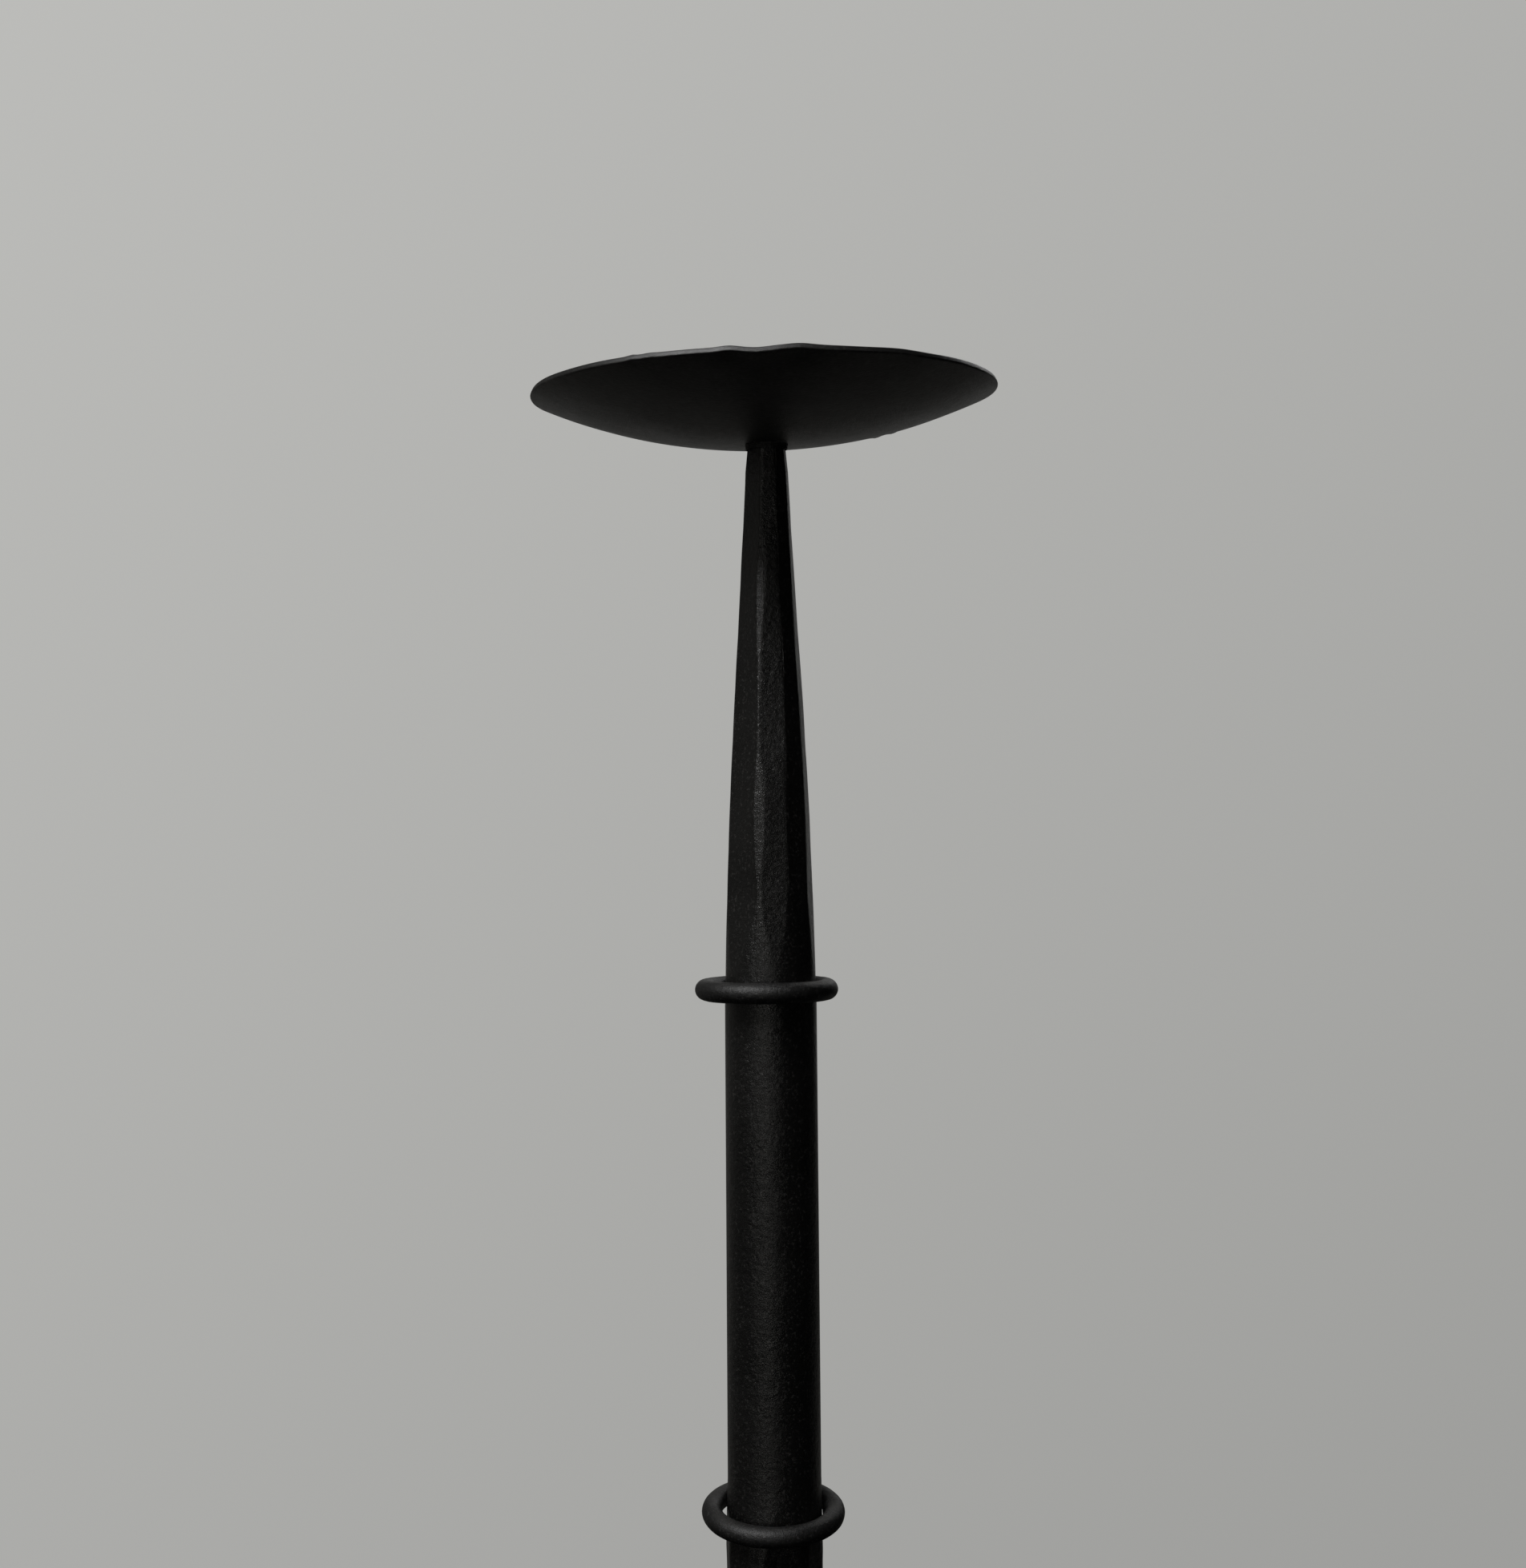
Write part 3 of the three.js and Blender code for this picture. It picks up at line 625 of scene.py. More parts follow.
def eased(profile: Profile, radius: float, closed: bool = False, steps: int = 4) -> list[Point]:
    """Rounds the corners of a profile.

    Args:
        profile: pairs of radius and height.
        radius: how far the rounding reaches from a corner.
        closed: rounds the ends too.
        steps: the pieces of each round.

    Returns:
        The rounded profile.
    """
    points = [Vector(point) for point in profile]
    result = []
    for place, corner in enumerate(points):
        inner = 0 < place < len(points) - 1
        if not (inner or closed):
            result.append(tuple(corner))
            continue
        before = points[place - 1] - corner
        after = points[(place + 1) % len(points)] - corner
        if math.pi - before.angle(after) < math.radians(SLIGHT_BEND):
            result.append(tuple(corner))
            continue
        start = corner + before.normalized() * min(radius, before.length * ROUND_REACH)
        end = corner + after.normalized() * min(radius, after.length * ROUND_REACH)
        for step in range(steps + 1):
            share = step / steps
            result.append(tuple(start.lerp(corner, share).lerp(corner.lerp(end, share), share)))
    return result


def refined(profile: Profile, longest: float) -> list[Point]:
    """Cuts the long stretches of a profile into even pieces.

    Args:
        profile: pairs of radius and height.
        longest: the longest piece.

    Returns:
        The profile with its new points.
    """
    result = []
    for first, second in zip(profile, profile[1:]):
        start, end = Vector(first), Vector(second)
        count = max(1, math.ceil((end - start).length / longest))
        result += [tuple(start.lerp(end, step / count)) for step in range(count)]
    return [*result, tuple(profile[-1])]


def rod(radius: float, low: float, high: float, steps: int = 48) -> BMesh:
    """Makes a plain round bar on the axis, for cutting and joining."""
    return spun([(0, low), (radius, low), (radius, high), (0, high)], steps)


def flat_ring(hole: float, rim: float, bottom: float, top: float, steps: int) -> BMesh:
    """Makes a flat round piece with a hole.

    Args:
        hole: the hole's radius.
        rim: the outer radius.
        bottom: the height of its underside.
        top: the height of its upper side.
        steps: the pieces of its round.

    Returns:
        The mesh, on the axis.
    """
    corners = [(hole, bottom), (rim, bottom), (rim, top), (hole, top)]
    return spun(eased(corners, PLATE_ROUNDING, closed=True), steps, closed=True)


def moved(bm: BMesh, matrix: Matrix) -> BMesh:
    """Moves a mesh by a matrix and returns it."""
    bmesh.ops.transform(bm, matrix=matrix, verts=bm.verts[:])
    return bm


def vertex_values(mesh: bpy.types.Mesh, key: str) -> np.ndarray:
    """Reads a value of three numbers from every vertex.

    Args:
        mesh: the mesh.
        key: the value's name.

    Returns:
        One row for each vertex.
    """
    values = np.empty(len(mesh.vertices) * 3)
    mesh.vertices.foreach_get(key, values)
    return values.reshape(-1, 3)


def mark_wear_and_highlight(mesh: bpy.types.Mesh, low: float = 380.0, high: float = 1300.0) -> None:
    """Stores where the surface bulges sharply, as the attribute that the paint reads; there the paint is
    lighter, as wear and as a painted highlight.

    Args:
        mesh: the mesh.
        low: the bulge, as one over its radius, where wear starts.
        high: the bulge where it is full.
    """
    places, normals = vertex_values(mesh, "co"), vertex_values(mesh, "normal")
    ends = np.empty(len(mesh.edges) * 2, dtype=np.int64)
    mesh.edges.foreach_get("vertices", ends)
    first, second = ends.reshape(-1, 2).T
    reach = places[second] - places[first]
    span = np.maximum((reach * reach).sum(axis=1), 1e-12)
    bulge = np.zeros(len(mesh.vertices))
    np.maximum.at(bulge, first, -2 * (reach * normals[first]).sum(axis=1) / span)
    np.maximum.at(bulge, second, 2 * (reach * normals[second]).sum(axis=1) / span)
    share = np.clip((bulge - low) / (high - low), 0, 1)
    mesh.attributes.new(WEAR_AND_HIGHLIGHT, "FLOAT", "POINT").data.foreach_set("value", share.astype(np.float32))


class Bench:
    """Paints finished pieces, hands them to the frame and reports them."""

    def __init__(self, nodes: Mapping[str, bpy.types.Object]) -> None:
        """Keeps the frame's nodes and mixes the paints."""
        self.nodes = nodes
        self.paints = {finish.slot: finish.material() for finish in FINISHES}

    def copy_of(self, node: str) -> BMesh:
        """Copies a node of the frame.

        Args:
            node: the node.

        Returns:
            The copy, with its triangles joined.
        """
        bm = bmesh.new()
        bm.from_mesh(self.nodes[node].data)
        bmesh.ops.remove_doubles(bm, verts=bm.verts[:], dist=MERGE)
        return bm

    def piece(self, bm: BMesh, name: str, slot: Slot, node: str) -> bpy.types.Object:
        """Makes a piece of the stand.

        Args:
            bm: its mesh, which is used up.
            name: its name.
            slot: the material slot that it takes its paint from.
            node: the node of the frame that it stands for.

        Returns:
            The piece.
        """
        bmesh.ops.triangulate(bm, faces=[face for face in bm.faces if len(face.verts) > 4])
        made = mesh_object(bm, name)
        made.data.polygons.foreach_set("use_smooth", [True] * len(made.data.polygons))
        made.data.set_sharp_from_angle(angle=math.radians(CREASE))
        mark_wear_and_highlight(made.data)
        made.data.materials.append(self.paints[slot])
        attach(made, BODY)
        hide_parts(node)
        log.info("%s stands for %s with %d faces", name, node, len(made.data.polygons))
        return made


# ---------------------------------------------------------------- shaft


def between(values: Sequence[float], share: float) -> float:
    """Follows a smooth curve through values at even steps.

    Args:
        values: the values.
        share: how far along the curve, from 0 to 1.

    Returns:
        The value there.
    """
    last = len(values) - 1
    step = min(max(share, 0.0), 1.0) * last
    place = min(int(step), last - 1)
    rest = step - place
    before, here, ahead, after = (values[min(max(place + shift, 0), last)] for shift in (-1, 0, 1, 2))
    start, end = (ahead - before) / 2, (after - here) / 2
    cube = 2 * here - 2 * ahead + start + end
    square = 3 * ahead - 3 * here - 2 * start - end
    return ((cube * rest + square) * rest + start) * rest + here


def flats(ridges: Sequence[float]) -> list[tuple[float, float]]:
    """Returns the angles of the ridges on both sides of each flat."""
    return list(zip(ridges, [*ridges[1:], ridges[0] + 360]))


@dataclass
class HammeredShaft:
    """The iron tube: round between the rings, with long hammered flats above and below them.

    Angles are in degrees to the right of the front.
    """

    axis_y: float
    bottom: float
    lower_ring: float
    upper_ring: float
    top: float
    foot_diameter: float = 38 * MM
    hammered_diameter: float = 43.2 * MM
    plain_diameters: tuple[float, float] = (40.6 * MM, 39.8 * MM)
    taper_diameters: tuple[float, ...] = (39.2 * MM, 36.4 * MM, 30.9 * MM, 23.9 * MM, 18.1 * MM)
    neck_diameter: float = 16.5 * MM
    neck_length: float = 12 * MM
    wall: float = 3 * MM
    bore_run: float = 150 * MM
    bore_tip: float = 4 * MM
    plug_length: float = 34 * MM
    stud_hole: float = 9 * MM
    stud_hole_depth: float = 19 * MM
    taper_ridges: tuple[float, ...] = (-82, -22.8, -9.8, 27, 60, 93, 130, 170, 206, 242)
    foot_ridges: tuple[float, ...] = (-66, -32, -17, 36, 72, 108, 146, 184, 222, 258)
    ridge_sway: float = 1.6
    ridge_sway_length: float = 120 * MM
    ridge_sway_phase: float = 2.1  # from one ridge to the next, in radians, as the other phases
    ridge_dip: float = 0.22 * MM
    ridge_dip_length: float = 46 * MM
    ridge_dip_phase: float = 1.7
    ridge_rounding: float = 0.3 * MM
    least_rounding: float = 0.02  # its share where a flat runs out
    narrow_flat: int = 1
    narrow_least: float = 0.9
    narrow_most: float = 7.5
    blow_length: float = 57 * MM
    blow_heights: tuple[float, ...] = (0.0, 75 * MM, 173 * MM)
    taper_runout_gap: float = 7 * MM
    foot_runout_gap: float = 15 * MM
    runout_length: float = 34 * MM
    runout_stagger: float = 7 * MM
    runout_phase: float = 2.4
    flat_wave: Relief = Relief(24 * MM, 0.1 * MM)
    degrees_per_column: float = 2.1
    fewest_columns: int = 10
    outside_share: float = 0.9  # what lies past this share of the radius is the outside
    crowding: float = 0.65  # how far the columns of a flat are drawn to its ridges
    foot_row: float = 3.4 * MM
    plain_row: float = 5 * MM
    runout_row: float = 1.3 * MM
    taper_row: float = 1.8 * MM
    neck_row: float = 1 * MM

    def radius(self, height: float) -> float:
        """Works out the radius over the ridges.

        Args:
            height: the height.

        Returns:
            The radius there.
        """
        if height > self.upper_ring:
            rise = (height - self.upper_ring) / (self.top - self.upper_ring)
            drawn_in = max(0.0, (height - self.top + self.neck_length) / self.neck_length)
            drop = (self.taper_diameters[-1] - self.neck_diameter) * drawn_in
            return (between(self.taper_diameters, rise) - drop) / 2
        gap = self.foot_runout_gap
        heights = (self.bottom, self.lower_ring - gap, self.lower_ring + gap, self.upper_ring)
        hammered, plain = (self.foot_diameter, self.hammered_diameter), self.plain_diameters
        return float(np.interp(height, heights, (*hammered, *plain))) / 2

    def share(self, height: float, flat: int) -> float:
        """Works out how much of its full width a flat has.

        Args:
            height: the height.
            flat: the flat.

        Returns:
            The share of the full width there.
        """
        stagger = self.runout_stagger * abs(math.sin(self.runout_phase * flat))
        above = height - self.upper_ring - self.taper_runout_gap - stagger
        below = self.lower_ring + self.foot_runout_gap - height - stagger
        return min(max(max(above, below) / self.runout_length, 0.0), 1.0)

    def blow(self, height: float) -> float:
        """Returns how far the single blows open the narrow flat at a height, from 0 to 1."""
        reaches = ((height - self.upper_ring - middle) / self.blow_length for middle in self.blow_heights)
        return max(math.cos(math.pi * reach) if abs(reach) < 0.5 else 0.0 for reach in reaches)

    def ridges(self, height: float) -> list[float]:
        """Follows the ridges along the shaft.

        Args:
            height: the height.

        Returns:
            The angle of each ridge there.
        """
        rise = min(max((height - self.lower_ring) / (self.upper_ring - self.lower_ring), 0.0), 1.0)
        turn = math.tau * height / self.ridge_sway_length
        found = []
        for place, (low, high) in enumerate(zip(self.foot_ridges, self.taper_ridges)):
            sway = self.ridge_sway * math.sin(turn + self.ridge_sway_phase * place)
            found.append(low + (high - low) * rise + sway)
        if height > self.upper_ring:
            middle = (found[self.narrow_flat] + found[self.narrow_flat + 1]) / 2
            half = self.narrow_least + (self.narrow_most - self.narrow_least) * self.blow(height)
            found[self.narrow_flat] = middle - half
            found[self.narrow_flat + 1] = middle + half
        return found

    def bore(self, height: float) -> float:
        """Works out the bore, whose wall lies inside the deepest flat.

        Args:
            height: the height.

        Returns:
            The bore's radius there.
        """
        every_flat = [*flats(self.taper_ridges), *flats(self.foot_ridges)]
        widest = max(end - start for start, end in every_flat)
        return self.radius(height) * math.cos(math.radians(widest / 2)) - self.wall

    def heights(self) -> list[float]:
        """Spaces the rows of the outside, closer together where it is hammered.

        Returns:
            Their heights.
        """
        foot_end = self.lower_ring + self.foot_runout_gap
        foot_start = foot_end - self.runout_length - self.runout_stagger
        taper_start = self.upper_ring + self.taper_runout_gap
        taper_full = taper_start + self.runout_length + self.runout_stagger
        neck = self.top - self.neck_length
        return [
            *rungs(self.bottom, foot_start, self.foot_row),
            *rungs(foot_start, foot_end, self.runout_row),
            *rungs(foot_end, taper_start, self.plain_row),
            *rungs(taper_start, taper_full, self.runout_row),
            *rungs(taper_full, neck, self.taper_row),
            *rungs(neck, self.top, self.neck_row),
            self.top,
        ]

    def columns(self) -> list[tuple[int, float]]:
        """Spaces the columns of the outside, closer together at the ridges.

        Returns:
            Each column's flat, and its share of the way across it.
        """
        found = []
        for flat, ends in enumerate(zip(flats(self.taper_ridges), flats(self.foot_ridges))):
            widest = max(end - start for start, end in ends)
            number = max(self.fewest_columns, round(widest / self.degrees_per_column))
            for step in range(number):
                drawn = (1 - math.cos(math.pi * step / number)) / 2
                found.append((flat, (1 - self.crowding) * step / number + self.crowding * drawn))
        return found

    def hammered(self, height: float, angle: float, start: float, end: float, flat: int) -> float:
        """Works out how far the surface reaches from the axis.

        Args:
            height: the height.
            angle: the angle of the point.
            start: the angle of the ridge before it.
            end: the angle of the ridge after it.
            flat: the flat between them.

        Returns:
            The reach.
        """
        radius = self.radius(height)
        share = self.share(height, flat)
        dip_turn = math.tau * height / self.ridge_dip_length + self.ridge_dip_phase * flat
        dip = self.ridge_dip * share * (1 + math.sin(dip_turn)) / 2
        cut_reach = radius * math.cos(math.radians((end - start) / 2) * math.sqrt(share))
        plane = cut_reach / math.cos(math.radians(angle - (start + end) / 2))
        reach = smooth_least(radius - dip, plane, self.ridge_rounding * max(share, self.least_rounding))
        wave = rolling(polar(angle, reach, height), self.flat_wave.size, flat)
        return reach - self.flat_wave.depth * share * wave

    def mesh(self) -> BMesh:
        """Turns the tube and hammers its flats.

        Returns:
            The closed mesh, on its axis.
        """
        bore_top, hole_floor = self.upper_ring + self.bore_run, self.top - self.stud_hole_depth
        bore_heights = (bore_top - self.bore_run / 2, self.upper_ring, self.lower_ring)
        foot_bore = self.bore(self.bottom)
        profile = [
            (0, bore_top),
            (self.bore_tip / 2, bore_top),
            *((self.bore(height), height) for height in bore_heights),
            (foot_bore, self.bottom + self.plug_length),
            (foot_bore, self.bottom),
            *((self.radius(height), height) for height in self.heights()),
            (self.stud_hole / 2, self.top),
            (self.stud_hole / 2, hole_floor),
            (0, hole_floor),
        ]
        columns = self.columns()
        bm = spun(profile, len(columns))
        for vert in bm.verts:
            height = vert.co.z
            reach = math.hypot(vert.co.x, vert.co.y)
            turn = math.atan2(vert.co.y, vert.co.x) / math.tau * len(columns)
            flat, across = columns[round(turn) % len(columns)]
            start, end = flats(self.ridges(height))[flat]
            angle = start + (end - start) * across
            if reach > self.outside_share * self.radius(height):
                reach = self.hammered(height, angle, start, end, flat)
            vert.co = polar(angle, reach, height)
        bmesh.ops.recalc_face_normals(bm, faces=bm.faces[:])
        return moved(bm, Matrix.Translation((0, self.axis_y, 0)))

    def build(self, bench: Bench) -> None:
        """Makes the shaft's piece."""
        bench.piece(self.mesh(), "hammered_shaft", Slot.SHAFT, "shaft")


# ---------------------------------------------------------------- head


@dataclass(frozen=True)
class Bump:
    """A mark of the maker's hand on the pan: place from the middle, width and rise, in millimetres."""

    x: float
    y: float
    width: float
    rise: float


@dataclass
class Head:
    """The dished pan with its plate, its spike and the weld that holds it on the neck."""

    seat: Matrix
    neck_top_radius: float
    neck_low_radius: float
    pan_diameter: float = 202.4 * MM
    pan_depth: float = 21.3 * MM
    pan_wall: float = 2.6 * MM
    pan_seat: float = 24 * MM
    pan_shift: float = -0.5 * MM
    lean: float = -1.0  # in degrees; under zero, the left side hangs low
    rim_rounding: float = 0.7 * MM
    pan_arc_steps: int = 58
    pan_turn_steps: int = 288
    hole: float = 9 * MM
    stud: float = 8 * MM
    stud_reach: float = 16 * MM
    plate_diameter: float = 56 * MM
    plate_thickness: float = 2 * MM
    spike_diameter: float = 11 * MM
    spike_tip: float = 1 * MM
    spike_length: float = 33 * MM
    spike_foot: float = 1.2 * MM
    spike_foot_taper: float = 0.93
    spike_rounding: float = 0.4 * MM
    spike_grid: float = 0.8 * MM
    spike_dents: Relief = Relief(5 * MM, 0.12 * MM)
    bead_width: float = 1.1 * MM
    bead_height: float = 2.2 * MM
    bead_toe: float = 0.4 * MM
    bead_root: float = 0.2 * MM  # the smooth strip at the neck
    bead_ripples: int = 22
    bead_ripple_depth: float = 0.22 * MM
    bead_lumps: Relief = Relief(3 * MM, 0.5 * MM)
    sheet_wave: Relief = Relief(34 * MM, 0.3 * MM)
    sheet_wave_gap: float = 4 * MM  # from the plate out to where the waves start
    sheet_wave_run: float = 45 * MM  # over which they grow to their full height
    bumps: tuple[Bump, ...] = (
        Bump(-52, -85, 2.2, 0.45),
        Bump(-45, -89, 3.4, 0.25),
        Bump(-14, -99, 4.5, 0.55),
        Bump(-3, -101, 6.0, -0.6),
        Bump(14, -99, 7.0, 0.7),
        Bump(54, -85, 12.0, 0.4),
        Bump(50, 33, 1.8, -0.5),
        Bump(57, 30, 1.6, -0.45),
    )

    def sphere(self) -> tuple[float, float]:
        """Fits the dish's sphere to its seat and its rim.

        Returns:
            The height of its centre over the underside, and its outer radius.
        """
        seat, rim = self.pan_seat / 2, self.pan_diameter / 2
        centre = (rim**2 + self.pan_depth**2 - seat**2) / (2 * self.pan_depth)
        return centre, math.hypot(centre, seat)

    def floor(self, radius: float) -> float:
        """Returns the height of the pan's inner face at a radius."""
        centre, outside = self.sphere()
        return centre - math.sqrt((outside - self.pan_wall) ** 2 - radius**2)

    def pan(self) -> BMesh:
        """Turns the dish, and gives it the waves and marks of hand work.

        Returns:
            The mesh, over the underside.
        """
        centre, outside = self.sphere()
        inside, hole = outside - self.pan_wall, self.hole / 2
        seat, rim = self.pan_seat / 2, self.pan_diameter / 2
        low, high = (math.degrees(math.asin(radius / outside)) - 90 for radius in (seat, rim))
        inner_low = math.degrees(math.asin(seat / inside)) - 90
        outer_arc = arc((0, centre), outside, low, high, self.pan_arc_steps)
        inner_arc = arc((0, centre), inside, high, inner_low, self.pan_arc_steps)
        rim_line = eased([*outer_arc[-2:], *inner_arc[:2]], self.rim_rounding)
        profile = [(hole, 0), *outer_arc[:-1], *rim_line[1:-1], *inner_arc[1:], (hole, self.floor(seat))]
        bm = spun(profile, self.pan_turn_steps, closed=True)
        for vert in bm.verts:
            away = math.hypot(vert.co.x, vert.co.y) - self.plate_diameter / 2 - self.sheet_wave_gap
            spread = min(max(away / self.sheet_wave_run, 0.0), 1.0)
            wave = rolling(Vector((vert.co.x, vert.co.y, 0)), self.sheet_wave.size, seed=3.1)
            rise = self.sheet_wave.depth * spread * (wave - 0.5) * 2
            for bump in self.bumps:
                away = math.hypot(vert.co.x / MM - bump.x, vert.co.y / MM - bump.y) / bump.width
                rise += bump.rise * MM * math.exp(-away * away)
            vert.co.z += rise
        return moved(bm, Matrix.Translation((self.pan_shift, 0, 0)))

    def plate_bottom(self) -> float:
        """Returns the height of the plate's underside over the pan's."""
        return self.floor(self.plate_diameter / 2 + abs(self.pan_shift)) + CLEARANCE

    def plate(self) -> BMesh:
        """Returns the plate under the candle."""
        low = self.plate_bottom()
        return flat_ring(self.hole / 2, self.plate_diameter / 2, low, low + self.plate_thickness, steps=144)

    def spike(self) -> BMesh:
        """Forges the spike with its stud.

        Returns:
            The mesh, over the pan's underside.
        """
        bottom = self.plate_bottom() + self.plate_thickness + CLEARANCE
        tip, foot = bottom + self.spike_length, self.spike_diameter / 2
        corners = [
            (0, -self.stud_reach),
            (self.stud / 2, -self.stud_reach),
            (self.stud / 2, bottom),
            (foot, bottom),
            (foot * self.spike_foot_taper, bottom + self.spike_foot),
            (self.spike_tip / 2, tip - self.spike_rounding),
            (0, tip),
        ]
        bm = spun(refined(eased(corners, self.spike_rounding), self.spike_grid), steps=64)
        dent(bm, self.spike_dents, seed=7.7)
        return bm

    def neck_weld(self) -> BMesh:
        """Lays the weld under the pan, with the ripples of the rod round it.

        Returns:
            The mesh, under the pan's underside.
        """
        top = -CLEARANCE
        bottom = top - self.bead_height
        inner_top, inner_low = self.neck_top_radius + CLEARANCE, self.neck_low_radius + CLEARANCE
        outer, toe = inner_top + self.bead_width, inner_low + self.bead_toe
        face = []
        for angle in quarter(8):
            reach = outer - (outer - toe) * math.cos(angle)
            face.append((reach, bottom + (self.bead_height - self.bead_toe) * math.sin(angle)))
        bm = spun([(inner_low, bottom), *face, (outer, top), (inner_top, top)], steps=160, closed=True)
        for vert in bm.verts:
            radius = math.hypot(vert.co.x, vert.co.y)
            share = min(max((radius - inner_top - self.bead_root) / self.bead_width, 0.0), 1.0)
            turn = math.atan2(vert.co.y, vert.co.x)
            ripple = 0.5 + 0.5 * math.cos(self.bead_ripples * turn + 2 * math.sin(3 * turn))
            lump = rolling(vert.co, self.bead_lumps.size, seed=1.3)
            sunk = self.bead_ripple_depth * ripple + self.bead_lumps.depth * lump
            vert.co.xy *= 1 - share * sunk / radius
        return bm

    def build(self, bench: Bench) -> None:
        """Makes the head's pieces.

        Args:
            bench: the bench that they are handed to.
        """
        place = self.seat @ Matrix.Rotation(math.radians(self.lean), 4, "Y")
        for bm, name, slot, node in (
            (self.pan(), "dished_pan", Slot.PAN, "drip_pan"),
            (self.plate(), "flat_candle_plate", Slot.PAN, "candle_plate"),
            (self.spike(), "forged_spike", Slot.HARDWARE, "candle_spike"),
            (self.neck_weld(), "rippled_neck_weld", Slot.WELD, "neck_weld_bead"),
        ):
            bench.piece(moved(bm, place), name, slot, node)


# ---------------------------------------------------------------- rings


@dataclass
class BarRing:
    """A ring of round bar round the shaft, with the two welds behind it. Angles are in degrees."""

    name: str
    middle: Vector
    dip: float
    lean: float
    seed: float
    diameter: float = 62.3 * MM
    bar: float = 9.2 * MM
    bar_steps: int = 36
    turn_steps: int = 240
    dents: Relief = Relief(11 * MM, 0.12 * MM)
    fine_dents: Relief = Relief(3.6 * MM, 0.08 * MM)
    seam_angle: float = 184
    seam_width: float = 3 * MM
    seam_relief: Relief = Relief(2 * MM, 0.12 * MM)
    seam_sink: float = 0.1 * MM
    lump: float = 0.0  # how far paint stands out inside the bar, at the lump's angle
    lump_angle: float = 90
    lump_spread: float = 11
    weld_voxel: float = 0.35 * MM
    weld_lumps: Relief = Relief(2.6 * MM, 0.35 * MM)

    def place(self) -> Matrix:
        """Returns where the ring hangs."""
        dip = Matrix.Rotation(math.radians(self.dip), 4, "X")
        return Matrix.Translation(self.middle) @ dip @ Matrix.Rotation(math.radians(self.lean), 4, "Y")

    def ring(self) -> BMesh:
        """Bends the bar, a little uneven, with the seam where its ends were welded.

        Returns:
            The mesh, in its place on the shaft.
        """
        radius = (self.diameter - self.bar) / 2
        bm = spun(arc((radius, 0), self.bar / 2, 0, 360, self.bar_steps)[:-1], self.turn_steps, closed=True)
        dent(bm, self.dents, self.seed)
        dent(bm, self.fine_dents, self.seed + 5)
        seam = polar(self.seam_angle, 1, 0)
        bm.normal_update()
        for vert in bm.verts:
            along = abs(vert.co.cross(seam).z) / self.seam_width
            if along < 1 and vert.co.dot(seam) > 0:
                groove = self.seam_relief.depth * math.cos(math.pi * along) * math.cos(math.pi * along / 2)
                rough = 0.6 + 0.4 * rolling(vert.co, self.seam_relief.size)
                vert.co += vert.normal * (groove * rough - self.seam_sink)
            away = (math.degrees(math.atan2(vert.co.x, -vert.co.y)) - self.lump_angle) / self.lump_spread
            outward = Vector((vert.co.x, vert.co.y, 0)).normalized()
            vert.co -= outward * (self.lump * math.exp(-away * away) * max(0.0, -vert.normal.dot(outward)))
        return moved(bm, self.place())

    def build(self, bench: Bench) -> None:
        """Makes the ring and its welds.

        Args:
            bench: the bench that they are handed to.
        """
        bench.piece(self.ring(), f"bent_{self.name}", Slot.RING, self.name)
        for side in (Side.RIGHT, Side.LEFT):
            node = f"{self.name}_weld_{side.name.lower()}"
            weld = remeshed(bench.copy_of(node), self.weld_voxel, smoothing=4)
            dent(weld, self.weld_lumps, self.seed)
            bench.piece(weld, f"lumpy_{node}", Slot.WELD, node)


# ---------------------------------------------------------------- base


def turned_to(side: Side) -> Matrix:
    """Returns the turn that takes what points along +X to the angle of a leg."""
    return Matrix.Rotation(math.radians(side.value - 90), 4, "Z")


